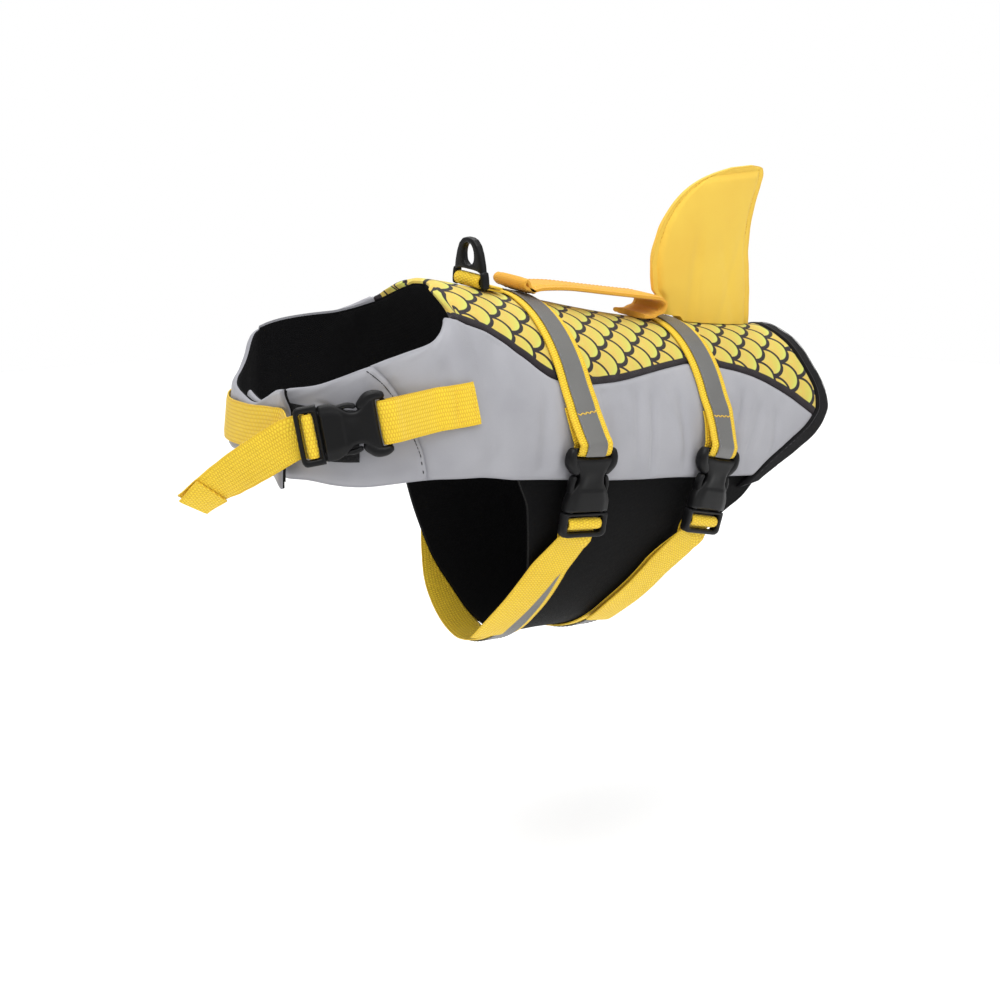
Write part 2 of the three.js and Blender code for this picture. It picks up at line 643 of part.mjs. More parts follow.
// Neck strap: a sewn loop on the left side holds the socket, and the strap from the right side runs through the
// ladder lock.
const NECK_NAMES = ['place', 'height'];
const NECK_ROWS = [
  [-70, -24],
  [-45, -21],
  [-25, -20],
  [-5, -20],
];
const FAR_ROWS = [
  [-112, -26.5],
  [-100, -28.5],
  [-88, -31],
  [-75, -32.5],
  [-60, -32],
  [-45, -29],
  [-25, -26],
  [-5, -25],
];
const neckHeight = column(NECK_NAMES, NECK_ROWS, 'place', 'height');
const farHeight = column(NECK_NAMES, FAR_ROWS, 'place', 'height');
const neckFrame = buckleFrame([-50.9, 54.6, 12.8], [-65.6, 61.8, 19.4]);
const neckRoute = (from, to, offset) => (t) => {
  const place = mix(from, to, t);
  const height = typeof offset === 'function' ? offset(place) : offset;
  return [place, angleAtHeight(place, neckHeight(place)), height];
};
const farRoute = (from, to) => (t) => {
  const place = mix(from, to, t);
  return [place, -angleAtHeight(place, farHeight(place)), wingLift(place) + LAID + 0.4];
};
const leftStations = agreed([
  ...laid(3, neckRoute(-25, -31, LAID)),
  ...runInto(4, neckRoute(-31, -46, LAID), neckFrame, 25.5, -2.5),
  ...localStations(neckFrame, LOOP_ROWS),
  ...reversed(runInto(4, neckRoute(-31, -46, LAID + LAYER), neckFrame, 25.5, 2.7)),
  ...laid(9, neckRoute(-31, -9.5, (place) => LAID + LAYER * smooth(20, 25, -place))),
]);
add('neck_loop', strip(leftStations, WEBBING_WIDTH, WEBBING), yellowWebbing);
const TAIL_NAMES = ['x', 'y', 'z'];
const TAIL_ROWS = [
  [36.5, -230, -33],
  [30, -235, -38.5],
  [22.5, -240, -44.5],
  [14.5, -245, -51],
  [6.5, -250.5, -57.5],
  [-2.5, -257.8, -65.5],
];
const strapStart = laid(34, farRoute(-12, -105));
const afterWing = strapStart[strapStart.length - 1].middle;
const lockBack = inFrame(neckFrame, -27, -5.9);
const tailOut = TAIL_ROWS.map(([x, y, z]) => new THREE.Vector3(x, y, z));
const tailAcross = new THREE.Vector3(0.7, -0.28, 0.86).normalize();
const tailStart = neckFrame.x.clone().multiplyScalar(neckFrame.x.dot(tailAcross) < 0 ? -1 : 1);
const rightStations = agreed([
  ...strapStart,
  { middle: afterWing.clone().lerp(lockBack, 0.5), across: neckFrame.x.clone() },
  ...localStations(neckFrame, LADDER_ROWS),
  ...tailOut.map((middle, i) => ({ middle, across: tailStart.clone().lerp(tailAcross, (i + 1) / tailOut.length) })),
]);
add('neck_strap', strip(rightStations, WEBBING_WIDTH, WEBBING), yellowWebbing);
addBuckle('neck', neckFrame);

// Heights along the spine's outer face.
function spineTop(y) {
  let place = y - WITHERS;
  for (let i = 0; i < 4; i += 1) place += y - lifted(place, 0, PANEL).y;
  return lifted(place, 0, PANEL).z;
}
function spineStrip(points, width, thickness) {
  const across = new THREE.Vector3(1, 0, 0);
  const stations = points.map(([y, z]) => ({ middle: new THREE.Vector3(0, y, z), across }));
  return strip(stations, width, thickness);
}

// Leash ring and the webbing that holds it: one strip that runs forward along the spine, round the ring's bar
// and back.
const RING_Y = -83;
const RING_BAR = 2; // radius
const RING_THICKNESS = 3.6;
const barHeight = spineTop(RING_Y) + GAP + WEBBING + 0.5 + RING_BAR;
const around = RING_BAR + 0.5 + WEBBING / 2;
const onSpine = (y, layer) => [y, spineTop(y) + GAP + WEBBING / 2 + layer * LAYER];
const turnRound = (from, to, count) => Array.from({ length: count + 1 }, (_, i) => {
  const a = radians(mix(from, to, i / count));
  return [RING_Y - around * Math.cos(a), barHeight + around * Math.sin(a)];
});
add('ring_webbing', spineStrip([
  ...[-69.5, -73, -76.5, -80].map((y) => onSpine(y, 0)),
  ...turnRound(-72, 190, 12),
  onSpine(-77.6, 1),
  ...[-75.5, -72.5, -69.5].map((y) => onSpine(y, 1)),
], WEBBING_WIDTH, WEBBING), yellowWebbing);
const RING_NAMES = ['half', 'height'];
const RING_ROWS = [
  [11.9, -3],
  [13.2, -3.2],
  [13.9, -1.6],
  [13.7, 3],
  [12.7, 9],
  [10.9, 15],
  [8.6, 19.6],
  [5.4, 22.4],
  [2.0, 23.3],
];
const ringOutline = bothSides(RING_ROWS);
const eighth = (i) => (i * Math.PI) / 8;
const eye = Array.from({ length: 16 }, (_, i) => [4.8 * Math.cos(eighth(i)), 14 + 6.2 * Math.sin(eighth(i))]);
const ringPlate = solid(plate(ringOutline, RING_THICKNESS, [eye]));
const LOWER_EYE = [[-11.8, -4], [11.8, -4], [11.8, 4.3], [9, 5.4], [4, 5.8], [-4, 5.8], [-9, 5.4], [-11.8, 4.3]];
const lowerEye = plate(LOWER_EYE, 8);
const bar = new THREE.CylinderGeometry(RING_BAR, RING_BAR, 24.6, 12).rotateZ(Math.PI / 2);
const ring = cutFrom(ringPlate, [lowerEye]).add(solid(bar));
add('leash_ring', surface(ring).rotateX(Math.PI / 2).translate(0, RING_Y, barHeight), blackPlastic);

// Grab handle: a flat padded strip over the spine whose ends fold under and are sewn down on the girth
// straps.
const seat = 1.5 * GAP + WEBBING + TAPE_LAYER + 1.5 * GAP + HANDLE / 2;
const seated = (y) => [y, spineTop(y) + seat];
add('grab_handle', spineStrip([
  seated(-46), seated(-49), seated(-52),
  [-54.6, spineTop(-54) + seat + 1], [-56.2, spineTop(-56) + seat + 2.7], [-55.9, spineTop(-56) + seat + 4.4],
  [-53.8, 25.3], [-50, 25.9], [-44, 25.4], [-35, 24.1], [-24, 22.2], [-12, 19.9], [0, 17.4], [12, 15], [22, 13],
  [31, 11.2], [38, 9.8],
  [42.4, 8.2], [44.6, 5.8], [44.2, 3.2], [42, spineTop(42) + seat + 1], [39.6, spineTop(39.6) + seat + 0.1],
  seated(37), seated(34.5),
], HANDLE_WIDTH, HANDLE), yellowCloth);

// Fin: two cloths with foam between, sewn to the spine along its foot.
const finFront = column(FIN_NAMES, FIN_ROWS, 'height', 'front');
const finRear = column(FIN_NAMES, FIN_ROWS, 'height', 'rear');
const finFoot = (y) => spineTop(y) + mix(2 * GAP + WEBBING + TAPE_LAYER + GAP, GAP, smooth(63.5, 67, y));
function finPoint(u, v) {
  const height = mix(-5, 78, v);
  const y = mix(finFront(height), finRear(height), u);
  return [y, height + (finFoot(y) + 5) * (1 - smooth(0, 0.3, v))];
}
const finHalf = (u, v) => 0.9 + 4.3 * Math.sqrt(4 * u * (1 - u)) * Math.sqrt(1 - v ** 2.5);
const finFace = (side) => (u, v) => {
  const [y, z] = finPoint(u, v);
  return new THREE.Vector3(side * finHalf(u, v), y, z);
};
add('fin', shell(14, 18, finFace(-1), finFace(1)), yellowCloth);

export default jacket;
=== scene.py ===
"""A dog life jacket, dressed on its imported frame.

Foam panels, webbing, tape, fin and handle are cloth pieces shaped on the jacket's worn form. The buckles and
the leash ring are moulded plastic. Sizes are in millimetres and angles in degrees until a piece is finished,
when it goes to metres.

A place on the form is how far it lies behind the withers, in millimetres, or below 0 how far round the front
of the chest, in degrees. An angle runs round the body from 0 at the top and is positive on the left.
"""

import logging
import math
from dataclasses import dataclass, field
from enum import Enum
from typing import Callable, Optional, Sequence

import bmesh
import bpy
import numpy as np
from mathutils import Matrix, Vector


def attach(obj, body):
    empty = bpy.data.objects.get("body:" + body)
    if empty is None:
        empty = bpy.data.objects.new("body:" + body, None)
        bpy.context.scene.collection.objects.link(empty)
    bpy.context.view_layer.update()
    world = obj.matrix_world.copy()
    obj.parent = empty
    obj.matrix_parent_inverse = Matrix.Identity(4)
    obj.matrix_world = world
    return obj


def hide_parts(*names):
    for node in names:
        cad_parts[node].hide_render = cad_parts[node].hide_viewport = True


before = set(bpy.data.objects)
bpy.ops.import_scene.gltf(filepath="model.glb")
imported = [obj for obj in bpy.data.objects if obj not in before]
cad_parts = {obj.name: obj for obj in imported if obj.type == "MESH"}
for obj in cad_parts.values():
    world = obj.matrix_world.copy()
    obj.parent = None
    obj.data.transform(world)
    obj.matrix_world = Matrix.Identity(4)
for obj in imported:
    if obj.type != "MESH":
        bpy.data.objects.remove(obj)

Array = np.ndarray
Mesh = bmesh.types.BMesh
Socket = bpy.types.NodeSocket
Pair = tuple[Array, Array]
Triple = tuple[float, float, float]
Outline = Callable[[Array, Array], Pair]
Route = Callable[[float], Triple]

log = logging.getLogger("life_jacket")
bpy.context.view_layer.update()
MM = 0.001
FULL_TURN = 2 * math.pi
JACKET = "jacket"
RING = "leash_ring"

# Thicknesses and widths of the cloths, and the gap between a piece and what it lies on.
GAP = 0.3
PATCH_GAP = 0.45
PANEL = 4.0
NEOPRENE = 3.0
WEBBING_WIDTH = 22.5
WEBBING = 1.4
TAPE_WIDTH = 13.5
TAPE = 0.5
PATCH = 0.8
BINDING_PROUD = 0.6
HANDLE_WIDTH = 29.0
HANDLE = 2.6

# Where the form's places start along the body, and where the pieces of the front begin and end.
WITHERS = -115.6
CHEST_FRONT = -90.0
SCALLOP_START = -13.0
LEFT_WING_END = -104.0
RIGHT_WING_END = -107.0
CURL = 2.6

# Heights of straps over the inside of the panels, and how far a panel's edge is tucked into its seam.
LAYER = WEBBING + GAP
LAID = PANEL + 1.5 * GAP + WEBBING / 2
TAPE_LAYER = TAPE + 1.5 * GAP
SEAM_TUCK_ANGLE = 0.12
SEAM_TUCK = 0.12

# The inside of the jacket. A section's top and widest point are given by radius and height, then come the
# height of its lowest point, how round it is, and the heights at which hem and scallop cross it.
SECTION_COLUMNS = ("place", "top_r", "top_z", "wide_r", "wide_z", "bottom_z", "round", "hem", "scallop")
SECTION_ROWS = (
    (-90, 93.5, -11, 95.5, -40, -170, 0.0, -58, -11),
    (-84, 93.5, -9.5, 96, -40, -170, 0.0, -56.5, -9.5),
    (-77, 94, -7, 97, -40, -170, 0.0, -55, -7),
    (-69, 94, -4, 97.8, -40, -170, 0.0, -53.5, -4),
    (-61, 92, 1, 96.5, -40, -170, 0.05, -54.5, 1),
    (-53, 89, 6.5, 92, -40, -170, 0.1, -55.2, 6.5),
    (-47, 80, 9.5, 85.5, -40, -170, 0.2, -55.2, 9.5),
    (-40, 68, 11, 78.5, -42, -170, 0.35, -55.3, 11),
    (-30, 54, 11.8, 71, -44, -172, 0.6, -56, 11.8),
    (-22.6, 45.5, 13.8, 68, -46, -172, 0.8, -57, 13.8),
    (-13, 33.5, 18.3, 65.2, -49, -172, 0.93, -58.2, 18.3),
    (-8, 22, 22.3, 64.3, -51, -172, 0.97, -58.8, 17.9),
    (0, 0, 31.5, 63.5, -54, -172, 1, -60.5, 15.6),
    (13, 0, 29, 63.8, -58, -172, 1, -63.5, 9.7),
    (29, 0, 24.5, 64, -62, -172.5, 1, -66, -2.8),
    (47, 0, 19.5, 64, -66, -173.5, 1, -69, -16.7),
    (63, 0, 15.2, 63.8, -69, -174, 1, -71.8, -21.9),
    (76, 0, 12, 63.2, -71, -175, 1, -74.2, -23.9),
    (102, 0, 4.7, 60.5, -74, -177, 1, -78.5, -25.7),
    (129, 0, -2.3, 57, -78, -178.5, 1, -82.5, -25.8),
    (154, 0, -7.8, 53.2, -80, -178, 1, -87.2, -26.3),
    (165, 0, -10, 51.8, -80.4, -177, 1, -89, -28),
    (186, 0, -13.8, 49.2, -81.5, -173, 1, -92.5, -33.3),
    (206, 0, -17.2, 46.5, -82, -168, 1, -96, -40.1),
    (228, 0, -20.4, 44, -82, -162, 1, -99, -51.8),
    (252, 0, -23.4, 41.8, -82, -153, 1, -101, -68.4),
    (275, 0, -26.3, 40.2, -82, -146, 1, -103, -84),
)
# Places of the binding's seam and outer edge by height, of the belly panel's ends and of the girth straps by
# angle, and of the fin's edges by height.
REAR_EDGE_COLUMNS = ("height", "seam", "edge")
REAR_EDGE_ROWS = (
    (-112, 165, 176), (-104.4, 178, 192), (-98, 190, 203.5), (-93.9, 198.6, 213), (-86.9, 211.7, 232),
    (-78.4, 231.2, 251.5), (-71.3, 246, 260), (-63.3, 254.5, 264.3), (-55.9, 255.5, 263.9),
    (-41.4, 251.5, 259.6), (-29.4, 248, 256.3), (-23, 244.5, 252.5), (0, 244.5, 252.5),
)
BELLY_COLUMNS = ("angle", "front", "rear")
BELLY_ROWS = (
    (60, 8, 207), (80, 13, 207), (93, 19.3, 207), (101, 26.1, 205), (106, 27.6, 198), (110, 28.8, 184),
    (115.5, 30.5, 165), (122, 32.7, 152), (133, 36, 139.6), (149, 42, 126), (180, 46, 118),
)
GIRTH_COLUMNS = ("angle", "front", "rear")
GIRTH_ROWS = (
    (0, 60.3, 165.2), (30, 60.3, 167), (65, 60, 166.5), (82, 59.6, 162), (90, 58.4, 158), (104, 55.6, 150.5),
    (113, 52, 142.5), (123, 46.3, 130.3), (133, 42, 119), (146, 37.5, 106.7), (180, 34, 93),
)
FIN_COLUMNS = ("height", "front", "rear")
FIN_ROWS = (
    (-5, 51, 120), (5, 49.5, 120.2), (11.5, 45.6, 119.8), (28, 44.5, 118.4), (45, 49.5, 120), (56, 56.5, 123),
    (66, 67, 126.5), (72, 77.5, 128.6), (76, 91, 127.5), (78, 104, 120),
)
# The fin's folds: depth, then distances back and up, how it leans, its width, and the heights between
# which it fades.
FIN_FOLDS = (
    (0.9, 74, 20, 0.16, 3.4, 30, 52),
    (0.7, 98, 22, -0.22, 4.0, 24, 46),
    (0.5, 112, 40, 0.35, 3.0, 34, 62),
)
# The webbing's middle line through a buckle, as distances up the buckle and out of it: round the two bars of
# the ladder lock, and round the socket's bar.
LADDER_ROWS = (
    (-27, -5.9), (-23.4, -5.9), (-20.5, -5.75), (-17.6, -4.6), (-15.6, -2.8), (-14.5, -0.9), (-14.5, 0.8),
    (-15.4, 2.0), (-16.8, 2.45), (-18.2, 2.0), (-19.1, 0.8), (-19.2, -0.8), (-19.3, -2.2), (-20.1, -3.5),
    (-21.8, -4.0), (-24.5, -3.95),
)
LOOP_ROWS = (
    (25.5, -2.5), (23.2, -2.4), (21.5, -2.35), (20.1, -1.75), (19.35, -0.6), (19.35, 0.6), (20.1, 1.75),
    (21.5, 2.4), (23.2, 2.6), (25.5, 2.7),
)
# Heights of the neck loop and of the neck strap's far side by place, and points of the strap's free end.
NECK_ROWS = ((-70, -24), (-45, -21), (-25, -20), (-5, -20))
FAR_ROWS = (
    (-112, -26.5), (-100, -28.5), (-88, -31), (-75, -32.5), (-60, -32), (-45, -29), (-25, -26), (-5, -25),
)
TAIL_ROWS = (
    (36.5, -230, -33), (30, -235, -38.5), (22.5, -240, -44.5), (14.5, -245, -51), (6.5, -250.5, -57.5),
    (-2.5, -257.8, -65.5),
)
# The socket's half width by distance up the buckle.
SOCKET_ROWS = (
    (-10.9, 13.7), (-9.9, 14.4), (-6.3, 14.4), (-1.8, 13.0), (2.2, 10.2), (4.9, 8.6), (7.7, 8.3), (10.4, 9.4),
    (13.0, 11.6), (15.5, 13.2), (17.4, 13.6),
)
# The handle's middle line: its front fold as distances back and up from its seat, and its arch.
HANDLE_FOLD_ROWS = ((-52.4, 0.1), (-55.2, 1.0), (-56.7, 2.4), (-56.9, 3.9), (-55.4, 5.2))
HANDLE_ARCH_ROWS = (
    (-51.5, 24.4), (-44, 24.3), (-35, 23.6), (-24, 22.2), (-12, 19.9), (0, 17.4), (12, 15), (22, 13),
    (31, 11.2), (38, 9.8), (42.4, 8.2), (44.6, 5.8), (44.2, 3.2),
)
# Rods of the buckle and the ring: distances across, up and out, then half the width and half the height.
EAR_ROWS = (
    (8.4, 9.4, 0, 2.2, 2.8), (11.4, 12.2, 0, 3.0, 3.4), (13.9, 15.4, 0, 3.0, 3.6), (14.4, 18.8, 0, 2.6, 3.4),
    (13.7, 21.8, 0, 2.1, 2.8), (12.8, 23.4, 0, 1.8, 2.4),
)
ARM_ROWS = (
    (10.4, -11.9, 0, 1.3, 2.2), (10.9, -6, 0, 1.3, 2.2), (11.6, 0, 0, 1.35, 2.3), (11.9, 3.5, 0, 1.4, 2.4),
    (11.2, 6.6, 0, 1.4, 2.4), (10.1, 8.4, 0, 1.1, 2.1),
)
TONGUE_ROWS = ((0, -12.2, 0, 3.0, 2.1), (0, -4, 0, 3.0, 2.1), (0, 5, 0, 2.4, 1.9))
RING_LEG_ROWS = (
    (12.5, 6.2, 0, 1.5, 2.2), (13.0, 2.0, 0, 1.6, 2.5), (13.2, -1.8, 0, 1.6, 2.6), (13.1, -4.2, 0, 1.5, 2.4),
)
# Right halves of outlines: the ladder lock's rim and opening, and the leash ring.
LOCK_RIM = ((12.4, -23.4), (14.3, -22.8), (15.4, -21.0), (15.4, -11.4), (15.0, -11.1))
LOCK_OPENING = ((11.3, -20.9), (11.8, -20.5), (11.8, -13.1), (11.3, -12.7))
RING_OUTLINE = (
    (4, 5.8), (9, 5.4), (11.8, 4.3), (12.6, 3.2), (13.7, 3), (12.7, 9), (10.9, 15), (8.6, 19.6), (5.4, 22.4),
    (2.0, 23.3),
)
# Creases in the cloth: from one place and angle to another, how deep (a ridge is below 0) and how wide. The
# first factor deepens them all and the second narrows them, and the last is how far a crease bends.
CREASE_DEPTH = 2.0
CREASE_WIDTH = 0.62
CREASE_BEND = 2.2
CREASE_ROWS = (
    (83, 52, 78, 78, 0.9, 5.0),
    (92, 50, 95, 82, 0.5, 7.0),
    (106, 56, 102, 88, 1.1, 5.5),
    (121, 60, 108, 92, 1.3, 4.5),
    (128, 55, 133, 86, -0.6, 6.0),
    (141, 58, 134, 90, 0.9, 5.0),
    (181, 62, 184, 82, 0.8, 4.0),
    (193, 58, 176, 94, 1.4, 4.5),
    (206, 64, 190, 96, 0.9, 5.5),
    (222, 70, 212, 92, 1.0, 5.0),
    (20, 40, 4, 62, 0.7, 9.0),
    (36, 62, 30, 96, 0.8, 6.0),
    (44, 78, 40, 98, -0.5, 5.0),
    (8, 84, -14, 96, 0.6, 6.0),
    (-24, 30, -18, 70, 0.7, 6.5),
    (80, -50, 84, -82, 1.0, 5.0),
    (100, -58, 92, -90, 0.8, 6.0),
    (117, -52, 124, -86, 1.2, 5.0),
    (138, -60, 130, -92, 0.9, 4.5),
    (183, -60, 190, -90, 1.1, 5.0),
    (208, -66, 198, -96, 1.2, 5.5),
    (14, -44, 2, -70, 0.8, 8.0),
    (34, -66, 38, -98, 0.9, 5.5),
    (-22, -28, -27, -76, 0.7, 6.0),
    (-58, -30, -63, -110, 0.9, 3.6),
    (-78, -40, -82, -120, 0.6, 3.2),
    (-66, 24, -60, 60, 0.5, 3.0),
)


def mix(low: Array, high: Array, share: Array) -> Array:
    """A value part of the way from low to high."""
    return low + (high - low) * share


def smooth(low: float, high: float, at: Array) -> Array:
    """A soft step from 0 at low to 1 at high."""
    t = np.clip((np.asarray(at, float) - low) / (high - low), 0, 1)
    return t * t * (3 - 2 * t)


def unit(vectors: Array) -> Array:
    """The same directions with length one."""
    return vectors / np.maximum(np.linalg.norm(vectors, axis=-1, keepdims=True), 1e-12)


class Column:
    """A function of one number that passes through a table's rows, with no overshoot between them."""

    def __init__(self, x: Sequence[float], y: Sequence[float]) -> None:
        """Keeps the rows and the slope at each of them.

        Args:
            x: The numbers it is given by, rising.
            y: The value at each.
        """
        self.x = np.array(x, float)
        self.y = np.array(y, float)
        slope = np.diff(self.y) / np.diff(self.x)
        product = slope[:-1] * slope[1:]
        total = np.where(product > 0, slope[:-1] + slope[1:], 1.0)
        inner = np.where(product > 0, 2 * product / total, 0.0)
        self.tangent = np.concatenate([slope[:1], inner, slope[-1:]])

    def __call__(self, at: Array) -> Array:
        """The value at each number.

        Args:
            at: The numbers.

        Returns:
            The values, held level past both ends.
        """
        q = np.clip(at, self.x[0], self.x[-1])
        i = np.clip(np.searchsorted(self.x, q, side="right") - 1, 0, len(self.x) - 2)
        h = self.x[i + 1] - self.x[i]
        t = (q - self.x[i]) / h
        a = (1 + 2 * t) * (1 - t) ** 2 * self.y[i] + t * t * (3 - 2 * t) * self.y[i + 1]
        return a + h * (t * (1 - t) ** 2 * self.tangent[i] + t * t * (t - 1) * self.tangent[i + 1])


def columns(names: Sequence[str], rows: Sequence[Sequence[float]]) -> dict[str, Column]:
    """A column for each name after the first, by the first.

    Args:
        names: The table's column names, the key first.
        rows: The table's rows.

    Returns:
        The columns by name.
    """
    grid = np.array(rows, float)
    return {name: Column(grid[:, 0], grid[:, i]) for i, name in enumerate(names) if i}


class WornForm:
    """The shape the jacket has when worn, and the outlines of its pieces on it."""

    def __init__(self) -> None:
        """Reads the tables and works out the seams once."""
        self.section = columns(SECTION_COLUMNS, SECTION_ROWS)
        self.rear_edge = columns(REAR_EDGE_COLUMNS, REAR_EDGE_ROWS)
        self.belly = columns(BELLY_COLUMNS, BELLY_ROWS)
        places = np.linspace(-112, 275, 775)
        self.places = places
        self.hem_angles = self.angle_at_height(places, self.section["hem"](self.folded(places)))
        scallop = self.angle_at_height(places, self.section["scallop"](places))
        self.scallop_angles = np.where(places <= SCALLOP_START, 0.0, scallop)

    @staticmethod
    def folded(place: Array) -> Array:
        """Past the front of the chest the sections run on round to the other side."""
        return np.where(np.asarray(place) < CHEST_FRONT, 2 * CHEST_FRONT - np.asarray(place, float), place)

    def inside(self, place: Array, angle: Array) -> Array:
        """Points of the inside.

        Args:
            place: Places along the body.
            angle: Angles round it, 0 at the top and positive on the left.

        Returns:
            Points in millimetres.
        """
        place, angle = np.broadcast_arrays(np.asarray(place, float), np.asarray(angle, float))
        at = self.folded(place)
        top_r, top_z, wide_r, wide_z, bottom_z, oval = (self.section[n](at) for n in SECTION_COLUMNS[1:7])
        side = np.where(angle < 0, -1.0, 1.0)
        turn = np.abs(angle)
        sine, cosine = np.sin(np.radians(turn)), np.cos(np.radians(turn))
        share = turn / 90
        upper = turn <= 90
        out = mix(share, sine, oval)
        down = mix(share, 1 - cosine, oval)
        r = np.where(upper, top_r + (wide_r - top_r) * out, wide_r * (1 - oval * (1 - sine)))
        low = wide_z - (wide_z - bottom_z) * mix(share - 1, -cosine, oval)
        z = np.where(upper, top_z - (top_z - wide_z) * down, low)
        forward = np.radians(np.maximum(-place, 0))
        x = side * r * np.cos(forward)
        y = WITHERS + np.maximum(place, 0) - r * np.sin(forward)
        return np.stack([x, y, z], -1)

    def outward(self, place: Array, angle: Array) -> Array:
        """Directions straight out of the jacket.

        Args:
            place: Places along the body.
            angle: Angles round it.

        Returns:
            Directions of length one.
        """
        place, angle = np.broadcast_arrays(np.asarray(place, float), np.asarray(angle, float))
        step = 0.6
        side = np.where(angle < 0, -1.0, 1.0)
        along = self.inside(place + step, angle) - self.inside(place - step, angle)
        spine = (place >= 0) & (np.abs(angle) < step)
        low = np.where(spine, -step, angle - side * np.minimum(step, np.abs(angle)))
        high = np.where(spine, step, angle + side * step)
        out = np.cross(self.inside(place, high) - self.inside(place, low), along)
        return unit(np.where((~spine & (side < 0))[..., None], -out, out))

    def lifted(self, place: Array, angle: Array, offset: Array) -> Array:
        """Points at a height over the inside."""
        offset = np.asarray(offset, float)[..., None]
        return self.inside(place, angle) + self.outward(place, angle) * offset

    def angle_at_height(self, place: Array, height: Array) -> Array:
        """The angles at which sections reach heights.

        Args:
            place: The sections' places.
            height: The height looked for in each.

        Returns:
            Angles on the left side.
        """
        place, height = np.broadcast_arrays(np.asarray(place, float), np.asarray(height, float))
        low, high = np.zeros(place.shape), np.full(place.shape, 180.0)
        for _ in range(32):
            middle = (low + high) / 2
            above = self.inside(place, middle)[..., 2] > height
            low, high = np.where(above, middle, low), np.where(above, high, middle)
        return (low + high) / 2

    def scallop_angle(self, place: Array) -> Array:
        """Where the back panel's lower edge lies."""
        return np.interp(place, self.places, self.scallop_angles)

    def hem_angle(self, place: Array) -> Array:
        """Where the lower edge of the sides and chest lies."""
        return np.interp(place, self.places, self.hem_angles)

    def rear_place(self, kind: str, angle_of: Callable[[Array], Array],
                   shape: Array) -> Array:
        """Where the rear seam or edge crosses a line round the body.

        Args:
            kind: "seam" or "edge".
            angle_of: The line's angle at each place.
            shape: An array as long as the answer.

        Returns:
            A place for each entry.
        """
        place = np.full(np.shape(shape), 240.0)
        for _ in range(14):
            place = mix(place, self.rear_edge[kind](self.inside(place, angle_of(place))[..., 2]), 0.6)
        return place

    def round_length(self, place: Array, angle: Array) -> Array:
        """Length round the body from the top, signed as the angle is."""
        shares = np.linspace(0, 1, 25)
        line = self.inside(place[..., None], angle[..., None] * shares)
        return np.sign(angle) * np.linalg.norm(np.diff(line, axis=-2), axis=-1).sum(-1)


FORM = WornForm()


def chest_seam(share: Array) -> Array:
    """The seam between chest wing and side, which leans from the neck edge to the hem."""
    return mix(-51.5, -33.2, share)


def wing_lift(place: Array) -> Array:
    """How far the right wing lies out over the left one, and how its end lifts."""
    return 6.9 * smooth(58, 76, -place) + CURL * smooth(93, 111, -place) ** 1.5


def curled_lift(place: Array, v: Array) -> Array:
    """The right wing's lift with the extra curl of its two end corners."""
    corner = smooth(0.0, 0.34, 0.36 - v) + smooth(0.66, 1.0, v) * 0.8
    return wing_lift(place) + 6.5 * corner * smooth(96, 108.5, -place) ** 2


def back_outline(u: Array, v: Array) -> Pair:
    """The back panel, from its front edge to the binding and from the right scallop to the left one.

    Args:
        u: Shares along it.
        v: Shares across it.

    Returns:
        Places and angles.
    """
    def edge_angle(share: Array, place: Array) -> Array:
        """The angle at a share of the way from the spine down to the scallop."""
        return share * np.maximum(0.5, FORM.scallop_angle(place) + SEAM_TUCK_ANGLE)

    rows = np.linspace(0, 1, 201)
    rears = FORM.rear_place("seam", lambda p: edge_angle(np.abs(2 * rows - 1), p), rows) + SEAM_TUCK
    across = 2 * v - 1
    share = np.abs(across)
    place = mix(mix(2.5, SCALLOP_START + 0.3, share ** 1.1), np.interp(v, rows, rears), u)
    return place, np.sign(across) * edge_angle(share, place)


def side_outline(side: int) -> Outline:
    """The outline of one side panel.

    Args:
        side: 1 for the left and -1 for the right.

    Returns:
        A function from shares along and down to place and angle.
    """
    def top(place: Array) -> Array:
        """The angle of its upper edge."""
        under = np.maximum(0.6, FORM.scallop_angle(place) - SEAM_TUCK_ANGLE)
        return np.where(place > SCALLOP_START, under, 0.6)

    rows = np.linspace(0, 1, 101)
    rears = FORM.rear_place("seam", lambda p: mix(top(p), FORM.hem_angle(p), rows), rows) + SEAM_TUCK

    def at(u: Array, v: Array) -> Pair:
        """Places and angles for shares along and down."""
        place = mix(chest_seam(v) - SEAM_TUCK, np.interp(v, rows, rears), u)
        return place, side * mix(top(place), FORM.hem_angle(place), v)

    return at


def wing_edges(side: int, place: Array) -> Pair:
    """The upper and lower edge of one chest wing, as angles.

    Args:
        side: 1 for the left and -1 for the right.
        place: Places along it.

    Returns:
        The upper and the lower angle.
    """
    at = FORM.folded(place)
    top_z, hem = FORM.section["top_z"](at), FORM.section["hem"](at)
    if side > 0:
        drop = smooth(78, 98, -place)
        upper = top_z - 10 * drop - 0.5
        lower = hem + 11 * drop
    else:
        upper = top_z - 9 * smooth(52, 66, -place) * (1 - smooth(84, 104, -place)) - 0.5
        lower = hem + 8 * smooth(60, 80, -place) * (1 - smooth(88, 110, -place)) - 3 * smooth(96, 110, -place)
    return FORM.angle_at_height(place, upper), FORM.angle_at_height(place, lower)


def wing_outline(side: int) -> Outline:
    """The outline of one chest wing.

    Args:
        side: 1 for the left and -1 for the right.

    Returns:
        A function from shares along and down to place and angle.
    """
    end = LEFT_WING_END if side > 0 else RIGHT_WING_END

    def at(u: Array, v: Array) -> Pair:
        """Places and angles for shares along and down."""
        place = mix(chest_seam(v) + SEAM_TUCK, end, u)
        return place, side * mix(*wing_edges(side, place), v)

    return at


